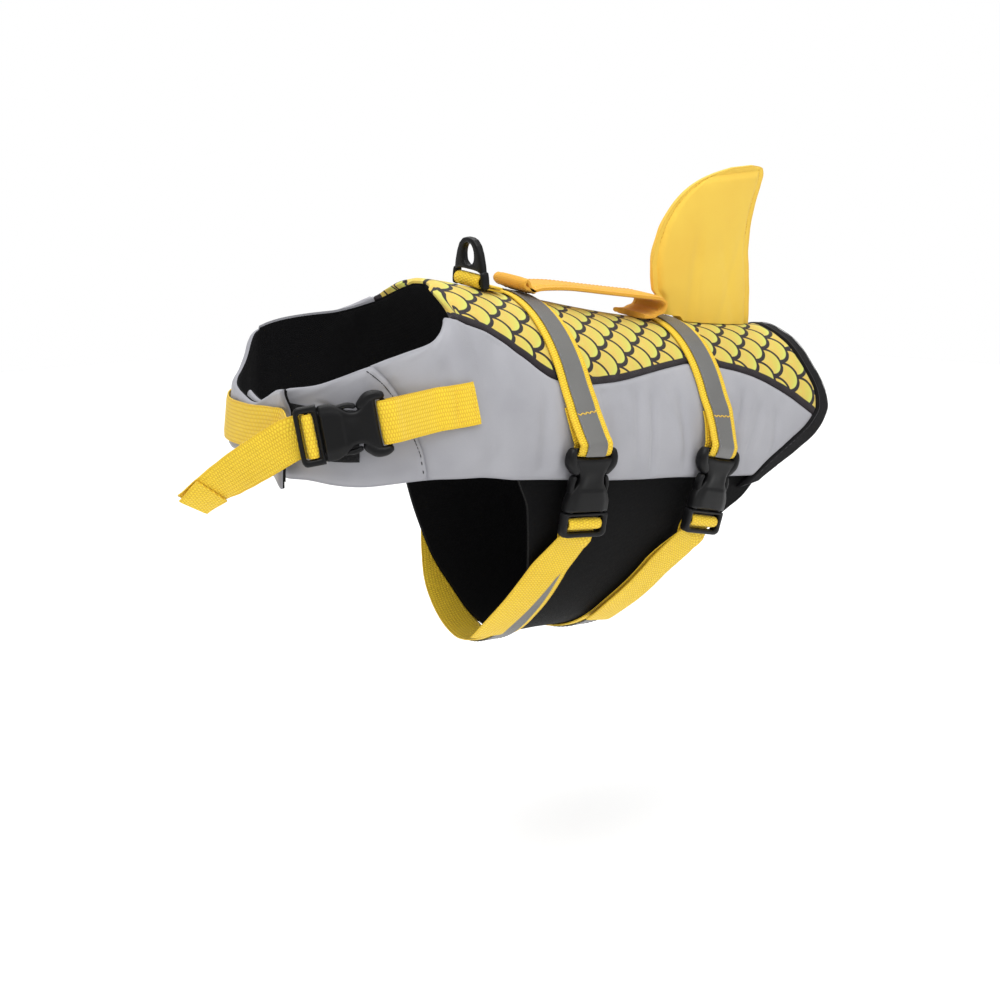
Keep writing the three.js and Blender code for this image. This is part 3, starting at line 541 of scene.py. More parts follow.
def binding_outline(u: Array, v: Array) -> Pair:
    """The binding, from its seam to its outer edge and from the left hem over the spine to the right one.

    Args:
        u: Shares from seam to edge.
        v: Shares along it.

    Returns:
        Places and angles.
    """
    across = 2 * v - 1
    angle = np.abs(across) * 101.5
    seam = FORM.rear_place("seam", lambda p: angle, v) - SEAM_TUCK
    edge = FORM.rear_place("edge", lambda p: angle, v)
    return mix(seam, edge, u), np.sign(across) * angle


def belly_outline(u: Array, v: Array) -> Pair:
    """The belly panel, from its front edge to its rear one and from side to side.

    Args:
        u: Shares along it.
        v: Shares across it.

    Returns:
        Places and angles.
    """
    across = 2 * v - 1
    turn = mix(180, 80, np.abs(across))
    place = mix(FORM.belly["front"](turn), FORM.belly["rear"](turn), u)
    return place, np.where(across < 0, -turn, turn)


def creases(place: Array, angle: Array) -> Array:
    """How deep the cloth's creases are at each point.

    Args:
        place: Places along the body.
        angle: Angles round it.

    Returns:
        Depths in millimetres, below 0 on a ridge.
    """
    narrowing = np.where(place < 0, 1.35, 1.0)
    depth = np.zeros(np.shape(place))
    for place_a, angle_a, place_b, angle_b, deep, wide in CREASE_ROWS:
        run_x, run_y = float(place_b) - place_a, float(angle_b) - angle_a
        dx, dy = place - place_a, angle - angle_a
        t = np.clip((dx * run_x + dy * run_y) / np.hypot(run_x, run_y) ** 2, -0.2, 1.2)
        bend = CREASE_BEND * np.sin(t * 2.6 + place_a)
        away = np.hypot(dx - t * run_x, dy - t * run_y) * np.sign(dx * run_y - dy * run_x) + bend
        taper = smooth(-0.2, 0.25, t) * (1 - smooth(0.7, 1.2, t))
        depth += CREASE_DEPTH * deep * taper * np.exp(-((away * narrowing / (CREASE_WIDTH * wide)) ** 2))
    return depth


def linear(code: str) -> tuple[float, float, float, float]:
    """A colour such as "A9A9AE" as linear red, green, blue and alpha."""
    parts = [int(code[i:i + 2], 16) / 255 for i in (0, 2, 4)]
    return (*(c / 12.92 if c <= 0.04045 else ((c + 0.055) / 1.055) ** 2.4 for c in parts), 1.0)


class Tree:
    """A node tree with short calls that add nodes and join them."""

    def __init__(self, tree: bpy.types.NodeTree) -> None:
        """Keeps the tree."""
        self.tree = tree

    def feed(self, socket: Socket, value: object) -> None:
        """Links a socket to another, or sets its own value.

        Args:
            socket: The socket that is fed.
            value: A socket, a plain value, or None to leave it as it is.
        """
        if isinstance(value, Socket):
            self.tree.links.new(value, socket)
        elif value is not None:
            socket.default_value = value

    def node(self, kind: str, inputs: Optional[dict] = None, **settings: object) -> bpy.types.Node:
        """Adds a node.

        Args:
            kind: The node's type without "ShaderNode".
            inputs: Values or sockets by input name or number.
            settings: The node's own properties.

        Returns:
            The node.
        """
        made = self.tree.nodes.new("ShaderNode" + kind)
        for name, value in settings.items():
            setattr(made, name, value)
        for name, value in (inputs or {}).items():
            self.feed(made.inputs[name], value)
        return made

    def math(self, operation: str, a: object, b: object = None, c: object = None) -> Socket:
        """Adds one sum and gives its result."""
        inputs = {i: v for i, v in enumerate((a, b, c)) if v is not None}
        return self.node("Math", inputs, operation=operation).outputs[0]

    def times(self, a: object, b: object) -> Socket:
        """Adds a product."""
        return self.math("MULTIPLY", a, b)

    def plus(self, a: object, b: object) -> Socket:
        """Adds a sum of two."""
        return self.math("ADD", a, b)

    def minus(self, a: object, b: object) -> Socket:
        """Adds a difference."""
        return self.math("SUBTRACT", a, b)

    def over(self, a: object, b: object) -> Socket:
        """Adds a quotient."""
        return self.math("DIVIDE", a, b)

    def most(self, a: object, b: object) -> Socket:
        """Adds the greater of two."""
        return self.math("MAXIMUM", a, b)

    def stretched(self, a: object, size: float, low: float) -> Socket:
        """Adds a value that runs from low over size as another runs from 0 to 1."""
        return self.math("MULTIPLY_ADD", a, size, low)

    def blend(self, share: object, a: object, b: object) -> Socket:
        """Adds a mix of two colours.

        Args:
            share: The share of the second colour.
            a: The first colour.
            b: The second colour.

        Returns:
            The mixed colour.
        """
        made = self.node("Mix", data_type="RGBA")
        for i, value in ((0, share), (6, a), (7, b)):
            self.feed(made.inputs[i], value)
        return made.outputs[2]

    def step(self, value: object, low: float, high: float) -> Socket:
        """A soft step from 0 at low to 1 at high, either way round."""
        inputs = {"Value": value, "From Min": low, "From Max": high, "To Min": 0.0, "To Max": 1.0}
        return self.node("MapRange", inputs, interpolation_type="SMOOTHSTEP").outputs[0]


class Group:
    """A shader node group with named inputs and outputs, built once."""

    def __init__(self, name: str, inputs: dict[str, float], outputs: Sequence[str]) -> None:
        """Makes the group's sockets.

        Args:
            name: The group's name.
            inputs: Usual values by name. The one named Vector is a vector and the others are numbers.
            outputs: The outputs' names.
        """
        self.tree = bpy.data.node_groups.new(name, "ShaderNodeTree")
        for key, value in inputs.items():
            kind = "NodeSocketVector" if key == "Vector" else "NodeSocketFloat"
            socket = self.tree.interface.new_socket(name=key, in_out="INPUT", socket_type=kind)
            if key != "Vector":
                socket.default_value = value
        for key in outputs:
            self.tree.interface.new_socket(name=key, in_out="OUTPUT", socket_type="NodeSocketFloat")
        self.kit = Tree(self.tree)
        self.entry = self.tree.nodes.new("NodeGroupInput")
        self.exit = self.tree.nodes.new("NodeGroupOutput")

    def xy(self) -> tuple[Socket, Socket]:
        """The vector's first two parts."""
        parts = self.kit.node("SeparateXYZ", {0: self.entry.outputs["Vector"]})
        return parts.outputs[0], parts.outputs[1]

    def give(self, **values: Socket) -> None:
        """Joins the group's outputs."""
        for key, value in values.items():
            self.kit.feed(self.exit.inputs[key], value)

    def use(self, kit: Tree, **values: object) -> bpy.types.Node:
        """Places the group in a material.

        Args:
            kit: The material's tree.
            values: Values or sockets for its inputs.

        Returns:
            The group's node.
        """
        made = kit.node("Group")
        made.node_tree = self.tree
        for key, value in values.items():
            kit.feed(made.inputs[key.replace("_", " ")], value)
        return made


def make_ribs() -> Group:
    """Webbing's ribs: rows of short floats that lie brick fashion across the width.

    Returns:
        The group, with the ribs' height and a mask of the turned edge.
    """
    inputs = {"Vector": 0, "Rib": 1.5, "Row": 1.1, "Half Width": 11.2}
    group = Group("webbing_ribs", inputs, ("Height", "Edge"))
    kit, (x, y) = group.kit, group.xy()
    get = group.entry.outputs
    row = kit.over(y, get["Row"])
    shift = kit.times(kit.math("MODULO", kit.math("FLOOR", row), 2.0), 0.5)
    turn = kit.plus(kit.over(x, get["Rib"]), shift)
    wave = kit.math("COSINE", kit.times(turn, FULL_TURN))
    crown = kit.math("SINE", kit.times(kit.math("FRACT", row), math.pi))
    height = kit.times(kit.math("POWER", kit.stretched(wave, -0.5, 0.5), 0.7), kit.math("POWER", crown, 0.8))
    inner = kit.minus(get["Half Width"], kit.math("ABSOLUTE", y))
    group.give(Height=height, Edge=kit.step(inner, 1.3, 0.5))
    return group


def make_weave() -> Group:
    """A plain weave's over and under, with threads that differ a little.

    Returns:
        The group, with the weave's height and how much each thread differs.
    """
    group = Group("plain_weave", {"Vector": 0, "Pitch": 0.5}, ("Height", "Thread"))
    kit = group.kit
    get = group.entry.outputs
    waves = [kit.math("SINE", kit.times(kit.over(a, get["Pitch"]), math.pi)) for a in group.xy()]
    slub = kit.node("TexNoise", {"Vector": get["Vector"], "Scale": 0.9, "Detail": 2.0}).outputs[0]
    group.give(Height=kit.math("ABSOLUTE", kit.times(*waves)), Thread=slub)
    return group


def make_wear() -> Group:
    """Slow colour and gloss variation over a piece, and fine grain.

    Returns:
        The group, with a slow and a fine value between 0 and 1.
    """
    group = Group("cloth_variation", {"Vector": 0, "Broad": 22.0, "Fine": 420.0}, ("Broad", "Fine"))
    get = group.entry.outputs
    for key in ("Broad", "Fine"):
        noise = group.kit.node("TexNoise", {"Vector": get["Vector"], "Scale": get[key], "Detail": 3.0})
        group.give(**{key: noise.outputs[0]})
    return group


def make_scales() -> Group:
    """A fish-scale repeat whose round free edges point towards the tail.

    Returns:
        The group, with the outlines, the lime rims, the darker roots and a slow wash over each scale.
    """
    start = 1.0
    inputs = {"Vector": 0, "Chord": 17.5, "Pitch": 9.7}
    group = Group("scale_repeat", inputs, ("Line", "Lime", "Root", "Wash"))
    kit, (along, across) = group.kit, group.xy()
    get = group.entry.outputs
    run = kit.over(kit.minus(along, start), get["Pitch"])
    row = kit.math("FLOOR", run)
    ahead = kit.minus(run, row)
    odd = kit.times(kit.math("FLOORED_MODULO", row, 2.0), 0.5)
    turn = kit.plus(kit.over(across, get["Chord"]), odd)
    offset = kit.minus(kit.math("FRACT", turn), 0.5)
    reach = kit.times(get["Chord"], 0.5)
    sideways = kit.times(offset, get["Chord"])
    forward = kit.times(ahead, reach)
    total = kit.plus(kit.times(sideways, sideways), kit.times(forward, forward))
    gap = kit.minus(reach, kit.math("SQRT", total))
    low = kit.step(offset, -0.45, 0.4)
    within = kit.over(gap, kit.stretched(low, 0.5, 1.15))
    line = kit.step(kit.most(within, kit.over(gap, -0.45)), 1.12, 0.88)
    inside = kit.step(gap, -0.2, 0.2)
    lime = kit.times(kit.times(inside, kit.step(gap, 4.6, 1.2)), kit.step(offset, -0.42, 0.2))
    before = kit.times(kit.minus(1.0, inside), kit.step(gap, -4.4, -1.0))
    near = kit.times(inside, kit.step(ahead, 0.45, 0.05))
    group.give(Line=line, Lime=lime, Root=kit.most(before, near), Wash=low)
    return group


RIBS, WEAVE, WEAR, SCALES = make_ribs(), make_weave(), make_wear(), make_scales()


class Bench:
    """A material being made from nodes, with the piece's own map in millimetres to hand."""

    def __init__(self, name: str) -> None:
        """Starts an empty material.

        Args:
            name: The material's name.
        """
        self.material = bpy.data.materials.new(name)
        self.material.use_nodes = True
        self.kit = Tree(self.material.node_tree)
        self.shader = self.material.node_tree.nodes["Principled BSDF"]
        self.map = self.kit.node("UVMap", uv_map="cloth").outputs[0]
        self.place = self.kit.node("TexCoord").outputs["Object"]

    def wear(self, broad: float = 22.0, fine: float = 420.0) -> list[Socket]:
        """The slow and the fine variation over the piece, by how often each repeats in a metre."""
        return list(WEAR.use(self.kit, Vector=self.place, Broad=broad, Fine=fine).outputs)

    def weave(self, pitch: float) -> bpy.types.Node:
        """A plain weave at a pitch in millimetres."""
        return WEAVE.use(self.kit, Vector=self.map, Pitch=pitch)

    def mask(self, name: str) -> Socket:
        """A distance in millimetres that the piece carries at each point."""
        return self.kit.node("Attribute", attribute_name=name, attribute_type="GEOMETRY").outputs["Fac"]

    def bump(self, height: object, distance: float) -> None:
        """Feeds a height in millimetres to the shader's normal."""
        made = self.kit.node("Bump", {"Height": height, "Distance": distance * MM})
        self.kit.feed(self.shader.inputs["Normal"], made.outputs[0])

    def settle(self, **values: object) -> bpy.types.Material:
        """Sets or links the shader's inputs.

        Args:
            values: Values or sockets by the input's name, with _ for a blank.

        Returns:
            The finished material.
        """
        for key, value in values.items():
            self.kit.feed(self.shader.inputs[key.replace("_", " ")], value)
        return self.material


@dataclass(frozen=True)
class Finish:
    """A finish of two colours, by its name. Each kind makes its own material from them."""

    name: str
    colour: str
    shade: str

    def mixed(self, kit: Tree, share: object) -> Socket:
        """The colour with a share of the shade."""
        return kit.blend(share, linear(self.colour), linear(self.shade))


@dataclass(frozen=True)
class Woven(Finish):
    """A woven cloth."""

    pitch: float = 0.55
    depth: float = 0.12
    roughness: float = 0.8
    sheen: float = 0.2
    gloss: float = 0.25

    def build(self) -> bpy.types.Material:
        """Makes the material, with painted shade along the seams and on the edge walls and inner faces, and
        darker on some threads.

        Returns:
            The material.
        """
        bench = Bench(self.name)
        kit = bench.kit
        broad, fine = bench.wear()
        weave = bench.weave(self.pitch).outputs
        worn = kit.times(kit.step(broad, 0.35, 0.75), 0.35)
        # Painted shade: darker within 2.2 mm of a seam, and fully dark where the seam distance is 0.
        seam = kit.times(kit.step(bench.mask("seam"), 2.2, 0.0), 0.55)
        colour = self.mixed(kit, kit.most(worn, seam))
        colour = kit.blend(kit.times(weave["Thread"], 0.12), colour, linear(self.shade))
        bench.bump(weave["Height"], self.depth)
        return bench.settle(Base_Color=colour, Roughness=kit.stretched(fine, 0.12, self.roughness - 0.06),
                            Sheen_Weight=self.sheen, Sheen_Roughness=0.45, Specular_IOR_Level=self.gloss)


@dataclass(frozen=True)
class Webbing(Finish):
    """Ribbed webbing whose edges are turned by the weft."""

    rib: float = 1.5
    row: float = 1.15
    half_width: float = 11.25

    def build(self) -> bpy.types.Material:
        """Makes the material, with painted shade between the ribs and on the turned edges.

        Returns:
            The material.
        """
        bench = Bench(self.name)
        kit = bench.kit
        broad, fine = bench.wear(30.0, 600.0)
        ribs = RIBS.use(kit, Vector=bench.map, Rib=self.rib, Row=self.row, Half_Width=self.half_width).outputs
        # Painted shade: darker in the hollows between the ribs and on the turned edges.
        hollow = kit.times(kit.step(ribs["Height"], 0.75, 0.0), 0.55)
        dark = kit.most(hollow, kit.times(ribs["Edge"], 0.35))
        dark = kit.plus(dark, kit.times(kit.step(broad, 0.4, 0.75), 0.12))
        bench.bump(ribs["Height"], 0.3)
        return bench.settle(Base_Color=self.mixed(kit, dark), Roughness=kit.stretched(fine, 0.15, 0.55),
                            Sheen_Weight=0.15, Sheen_Roughness=0.4, Specular_IOR_Level=0.35)


@dataclass(frozen=True)
class ScalePrint(Finish):
    """The printed cloth of the back: gold scales with lime rims, dark outlines and a dark border."""

    root: str
    ink: str
    border: float = 4.4

    def build(self) -> bpy.types.Material:
        """Makes it.

        Returns:
            The material.
        """
        bench = Bench(self.name)
        kit = bench.kit
        broad, fine = bench.wear()
        scales = SCALES.use(kit, Vector=bench.map).outputs
        colour = self.mixed(kit, kit.times(scales["Wash"], 0.35))
        tints = (
            (scales["Lime"], 0.9, self.shade), (scales["Root"], 0.55, self.root), (broad, 0.12, self.root),
        )
        for share, most, tint in tints:
            colour = kit.blend(kit.times(share, most), colour, linear(tint))
        border = kit.step(bench.mask("scallop"), self.border + 0.25, self.border - 0.25)
        colour = kit.blend(kit.most(scales["Line"], border), colour, linear(self.ink))
        bench.bump(bench.weave(0.5).outputs["Height"], 0.1)
        return bench.settle(Base_Color=colour, Roughness=kit.stretched(fine, 0.1, 0.62), Sheen_Weight=0.12,
                            Specular_IOR_Level=0.35)


@dataclass(frozen=True)
class Neoprene(Finish):
    """Black neoprene under a fine knit face."""

    def build(self) -> bpy.types.Material:
        """Makes it.

        Returns:
            The material.
        """
        bench = Bench(self.name)
        kit = bench.kit
        broad, fine = bench.wear(16.0, 700.0)
        colour = self.mixed(kit, kit.times(kit.step(broad, 0.4, 0.8), 0.6))
        bench.bump(kit.plus(bench.weave(0.8).outputs["Height"], kit.times(fine, 0.8)), 0.1)
        return bench.settle(Base_Color=colour, Roughness=kit.stretched(fine, 0.2, 0.55), Sheen_Weight=0.01,
                            Sheen_Roughness=0.5, Specular_IOR_Level=0.08)


@dataclass(frozen=True)
class Reflective(Finish):
    """Grey reflective tape: glass beads on cloth."""

    def build(self) -> bpy.types.Material:
        """Makes it.

        Returns:
            The material.
        """
        bench = Bench(self.name)
        kit = bench.kit
        broad, fine = bench.wear(18.0, 900.0)
        bench.bump(kit.plus(bench.weave(0.45).outputs["Height"], fine), 0.05)
        return bench.settle(Base_Color=self.mixed(kit, kit.step(broad, 0.3, 0.75)), Metallic=0.25,
                            Roughness=kit.stretched(fine, 0.18, 0.36), Specular_IOR_Level=0.5)


@dataclass(frozen=True)
class Moulded(Finish):
    """Satin moulded plastic with a spark-eroded grain, and a painted highlight that lightens its sharp edges.
    """

    def build(self) -> bpy.types.Material:
        """Makes it.

        Returns:
            The material.
        """
        bench = Bench(self.name)
        kit = bench.kit
        broad, fine = bench.wear(60.0, 2600.0)
        # Painted highlight: the sharp edges are mixed towards the lighter second colour.
        edge_highlight = kit.step(kit.node("NewGeometry").outputs["Pointiness"], 0.52, 0.62)
        bench.bump(fine, 0.05)
        return bench.settle(Base_Color=self.mixed(kit, kit.times(edge_highlight, 0.5)),
                            Roughness=kit.stretched(broad, 0.16, 0.34), Specular_IOR_Level=0.22)


@dataclass(frozen=True)
class Thread(Finish):
    """Sewing thread: two plies twisted."""

    def build(self) -> bpy.types.Material:
        """Makes it.

        Returns:
            The material.
        """
        bench = Bench(self.name)
        wave = bench.kit.node("TexWave", {"Vector": bench.place, "Scale": 900.0, "Distortion": 2.0})
        ply = wave.outputs["Fac"]
        bench.bump(ply, 0.08)
        return bench.settle(Base_Color=self.mixed(bench.kit, ply), Roughness=0.6, Sheen_Weight=0.2)


@dataclass(frozen=True)
class Fastener(Finish):
    """Hook and loop tape: a dense field of tiny tufts."""

    def build(self) -> bpy.types.Material:
        """Makes it.

        Returns:
            The material.
        """
        bench = Bench(self.name)
        away = bench.kit.node("TexVoronoi", {"Vector": bench.map, "Scale": 1.1}).outputs["Distance"]
        bench.bump(away, 0.35)
        return bench.settle(Base_Color=self.mixed(bench.kit, bench.kit.step(away, 0.1, 0.6)), Roughness=0.92,
                            Sheen_Weight=0.1)


class Cloth(Enum):
    """The finishes of the jacket, each by its recipe."""

    # For the woven cloths and the webbing the second colour is also their painted shade; for the plastic it
    # is the painted highlight of its edges.
    SCALES = ScalePrint("scale_print_cloth", "D8C454", "CDDA68", "E0B858", "1C1218")
    GREY = Woven("grey_polyester", "AAAAAF", "808087", pitch=0.32, depth=0.03)
    LINING = Woven("black_lining", "121214", "080809", 1.0, 0.2, 0.9, 0.02, 0.1)
    BINDING = Woven("black_binding_tape", "19181A", "0C0C0D", 0.7, 0.2, 0.75, 0.05, 0.15)
    YELLOW = Woven("yellow_polyester", "EDB440", "DFA032", 0.6, 0.12, 0.7, 0.15)
    FIN = Woven("fin_polyester", "F8D254", "E8B643", 0.6, 0.12, 0.7, 0.15)
    WEBBING = Webbing("ribbed_webbing", "FCDA38", "D09A14", rib=1.4, row=2.05)
    NEOPRENE = Neoprene("black_neoprene", "070708", "0E0E0F")
    TAPE = Reflective("beaded_tape", "787876", "6C6B69")
    PLASTIC = Moulded("black_moulded_plastic", "0D0D0E", "29292B")
    YELLOW_THREAD = Thread("yellow_thread", "FFD93B", "D9A012")
    GREY_THREAD = Thread("grey_thread", "8F8F96", "6F6F76")
    BLACK_THREAD = Thread("black_thread", "1A1A1C", "333338")
    FASTENER = Fastener("touch_fastener_tufts", "17171A", "08080A")

    @property
    def material(self) -> bpy.types.Material:
        """The built material, made at its first use."""
        name = self.value.name
        return bpy.data.materials.get(name) or self.value.build()


def slab(along: int, across: int) -> Mesh:
    """A closed unit slab whose x and y run along and across and whose z is 0 inside and 1 outside.

    Args:
        along: Faces along.
        across: Faces across.

    Returns:
        The mesh, with a ring of points half way up its walls.
    """
    mesh = bmesh.new()
    bmesh.ops.create_grid(mesh, x_segments=along, y_segments=across, size=0.5)
    bmesh.ops.translate(mesh, verts=mesh.verts[:], vec=(0.5, 0.5, 0.0))
    made = bmesh.ops.extrude_face_region(mesh, geom=mesh.faces[:])
    top = [v for v in made["geom"] if isinstance(v, bmesh.types.BMVert)]
    bmesh.ops.translate(mesh, verts=top, vec=(0.0, 0.0, 1.0))
    walls = [e for e in mesh.edges if abs(e.verts[0].co.z - e.verts[1].co.z) > 0.5]
    bmesh.ops.subdivide_edges(mesh, edges=walls, cuts=1)
    mesh.verts.index_update()
    return mesh


def corners(mesh: bmesh.types.BMesh) -> Array:
    """The mesh's points as an array."""
    return np.array([v.co[:] for v in mesh.verts], float)


def move_to(mesh: bmesh.types.BMesh, points: Array) -> None:
    """Puts the mesh's points in place, from millimetres to metres."""
    for vertex, point in zip(mesh.verts, points * MM):
        vertex.co = point


@dataclass
class Piece:
    """A mesh on its way to becoming a finished piece."""

    name: str
    mesh: bmesh.types.BMesh
    materials: Sequence[Cloth]
    body: str = JACKET
    replaces: Sequence[str] = ()
    slot: Optional[str] = None
    uv: Optional[Array] = None
    attributes: dict[str, Array] = field(default_factory=dict)
    smooth_angle: float = 45.0

    def finish(self) -> bpy.types.Object:
        """Makes the object, rides it on its body and says what it replaces.

        Returns:
            The object.
        """
        bmesh.ops.recalc_face_normals(self.mesh, faces=self.mesh.faces[:])
        if self.mesh.calc_volume(signed=True) < 0:
            bmesh.ops.reverse_faces(self.mesh, faces=self.mesh.faces[:])
        data = bpy.data.meshes.new(self.name)
        self.mesh.to_mesh(data)
        self.mesh.free()
        for cloth in self.materials:
            data.materials.append(cloth.material)
        if self.uv is not None:
            owner = np.zeros(len(data.loops), np.int32)
            data.loops.foreach_get("vertex_index", owner)
            layer = data.uv_layers.new(name="cloth")
            layer.data.foreach_set("uv", self.uv[owner].astype(np.float32).ravel())
        for key, values in self.attributes.items():
            made = data.attributes.new(key, "FLOAT", "POINT")
            made.data.foreach_set("value", values.astype(np.float32))
        data.shade_smooth()
        data.set_sharp_from_angle(angle=math.radians(self.smooth_angle))
        made = bpy.data.objects.new(self.name, data)
        bpy.context.scene.collection.objects.link(made)
        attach(made, self.body)
        if self.replaces:
            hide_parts(*self.replaces)
        log.info("%s: %d faces", self.name, len(data.polygons))
        return made


def straight(a: Array, b: Array) -> Array:
    """Distances between points."""
    return np.linalg.norm(a - b, axis=-1)


@dataclass
class FoamPanel:
    """A panel of foam between two cloths, whose edges are sewn thin.

    Its inner and outer faces lie at the heights low and high. The share edge of its thickness is left at the
    sewn edge, and it is full at edge_reach from there.
    """

    name: str
    outline: Outline
    columns: int
    rows: int
    face: Cloth
    slot: str
    low: float = 0.0
    high: float = PANEL
    edge: float = 0.62
    edge_reach: float = 4.0
    crease_share: float = 1.0
    lift: Optional[Callable[[Array, Array], Array]] = None
    rests_on: Sequence[str] = ()

    def build(self) -> bpy.types.Object:
        """Returns:
            The object.
        """
        mesh = slab(self.columns, self.rows)
        u, v, w = corners(mesh).T
        place, angle = self.outline(u, v)
        base = FORM.inside(place, angle)
        ends = [FORM.inside(*self.outline(np.full_like(u, end), v)) for end in (0.0, 1.0)]
        sides = [FORM.inside(*self.outline(u, np.full_like(v, end))) for end in (0.0, 1.0)]
        across = np.minimum(straight(base, sides[0]), straight(base, sides[1]))
        along = np.minimum(straight(base, ends[0]), straight(base, ends[1]))
        seam = np.minimum(across, along)
        reach = np.clip(seam / self.edge_reach, 0, 1)
        roll = self.edge + (1 - self.edge) * np.sqrt(1 - (1 - reach) ** 2)
        pucker = 0.16 * np.sin(place / 2.3 + angle / 3.1) * np.exp(-((seam - 3.0) / 2.6) ** 2)
        sink = creases(place, angle) * self.crease_share * smooth(0.0, 6.0, seam) + pucker
        thick = self.high - self.low
        offset = self.low + w * thick * roll - np.where(w > 0.75, sink, 0)
        if self.lift is not None:
            offset = offset + self.lift(place, v)
        move_to(mesh, FORM.lifted(place, angle, offset))
        for f in mesh.faces:
            f.material_index = 1 if max(w[x.index] for x in f.verts) < 0.75 else 0
        uv = np.stack([np.where(place < 0, place * 1.3, place), FORM.round_length(place, angle)], 1)
        # The seam distance is 0 on the walls and the inner face, so woven cloths there get the full painted
        # shade.
        made = Piece(self.name, mesh, (self.face, Cloth.LINING), JACKET, (self.name.removesuffix("_cloth"),),
                     self.slot, uv, {"seam": np.where(w > 0.75, seam, 0), "scallop": across}).finish()
        length, width = self.cut()
        return made

    def cut(self) -> tuple[float, float]:
        """The size of the flat cut.

        Returns:
            Its greatest length along and across, in metres.
        """
        count = 61
        grid = np.linspace(0, 1, count)
        u, v = np.meshgrid(grid, grid, indexing="ij")
        place, angle = self.outline(u.ravel(), v.ravel())
        points = FORM.inside(place, angle).reshape(count, count, 3)
        lengths = [np.linalg.norm(np.diff(points, axis=axis), axis=-1).sum(axis).max() for axis in (0, 1)]
        return float(lengths[0]) * MM, float(lengths[1]) * MM


def norm_cross(a: Array, b: Array) -> Array:
    """A unit direction square to two others."""
    return unit(np.cross(a, b))


@dataclass(frozen=True)
class Stations:
    """Points along a strap's middle, with the direction across it at each."""

    middle: Array
    across: Array

    def reversed(self) -> "Stations":
        """The same points from the other end."""
        return Stations(self.middle[::-1], self.across[::-1])

    def part(self, start: int, end: int) -> "Stations":
        """Some of the points."""
        return Stations(self.middle[start:end], self.across[start:end])


def join(parts: Sequence[Stations]) -> Stations:
    """Puts runs of points in one line, each across direction agreeing with the one before.

    Args:
        parts: The runs, in order.

    Returns:
        One run.
    """
    middle = np.concatenate([p.middle for p in parts])
    across = np.concatenate([p.across for p in parts]).copy()
    for i in range(1, len(across)):
        if np.dot(across[i], across[i - 1]) < 0:
            across[i] = -across[i]
    return Stations(middle, across)


def on_route(route: Route, t: float) -> Array:
    """The point that a route reaches at a share of its length."""
    return FORM.lifted(*route(t))


def laid(count: int, route: Route) -> Stations:
    """Points that lie along a route on the worn form.

    Args:
        count: The number of steps.
        route: Place, angle and height at each share.

    Returns:
        The points, two or more.
    """
    middle, across = [], []
    for i in range(count + 1):
        t = i / count
        here = on_route(route, t)
        low, high = max(t - 0.002, 0.0), min(t + 0.002, 1.0)
        along = on_route(route, high) - on_route(route, low)
        place, angle, _ = route(t)
        middle.append(here)
        across.append(norm_cross(FORM.outward(place, angle), along))
    return Stations(np.array(middle), np.array(across))


@dataclass(frozen=True)
class Seat:
    """A buckle's own frame: x across it, y up to its bar and z out of the jacket.

    Its lower half, with the ladder lock, is longer than usual by the factor stretch.
    """

    middle: Array
    x: Array
    y: Array
    z: Array
    stretch: float = 1.0

    @staticmethod
    def between(bar_end: Sequence[float], lock_end: Sequence[float], stretch: float = 1.0) -> "Seat":
        """The frame of a buckle that reaches from its bar to its ladder lock.

        Args:
            bar_end: Place, angle and height at the bar.
            lock_end: The same at the lock.
            stretch: How much longer its lower half is than usual.

        Returns:
            The frame.
        """
        top, bottom = FORM.lifted(*bar_end), FORM.lifted(*lock_end)
        up = unit(top - bottom)
        x = norm_cross(up, FORM.outward((bar_end[0] + lock_end[0]) / 2, (bar_end[1] + lock_end[1]) / 2))
        return Seat((top + bottom) / 2, x, up, norm_cross(x, up), stretch)

    def place_points(self, local: Array) -> Array:
        """Points from the buckle's frame to the jacket's."""
        long = np.where(local[:, 1:2] < 0, local[:, 1:2] * self.stretch, local[:, 1:2])
        return self.middle + local[:, :1] * self.x + long * self.y + local[:, 2:3] * self.z

    def stations(self, rows: Sequence[tuple[float, float]]) -> Stations:
        """A run of points on the buckle's middle line."""
        middle = self.place_points(np.array([(0.0, *row) for row in rows]))
        return Stations(middle, np.repeat(self.x[None], len(rows), 0))


def run_into(count: int, route: Route, seat: Seat, end: tuple[float, float]) -> Stations:
    """Points along a route that leave the form little by little for a point of the buckle.

    Args:
        count: How many points.
        route: The route, which ends at the buckle.
        seat: The buckle's frame.
        end: How far up and out of the buckle the run ends.

    Returns:
        The points.
    """
    rest = seat.stations([end]).middle[0] - on_route(route, 1.0)
    run = laid(count + 1, route)
    middle, across = run.middle[1:-1].copy(), run.across[1:-1].copy()
    for i in range(count):
        t = (i + 1) / (count + 1)
        way = across[i] * (1 if np.dot(across[i], seat.x) >= 0 else -1)
        middle[i] += rest * t ** 1.4
        across[i] = unit(way + (seat.x - way) * t)
    return Stations(middle, across)


def tangents(points: Array) -> Array:
    """The direction at each point of a line, from its neighbours."""
    steps = unit(np.diff(points, axis=0))
    return np.concatenate([steps[:1], unit(steps[:-1] + steps[1:]), steps[-1:]])


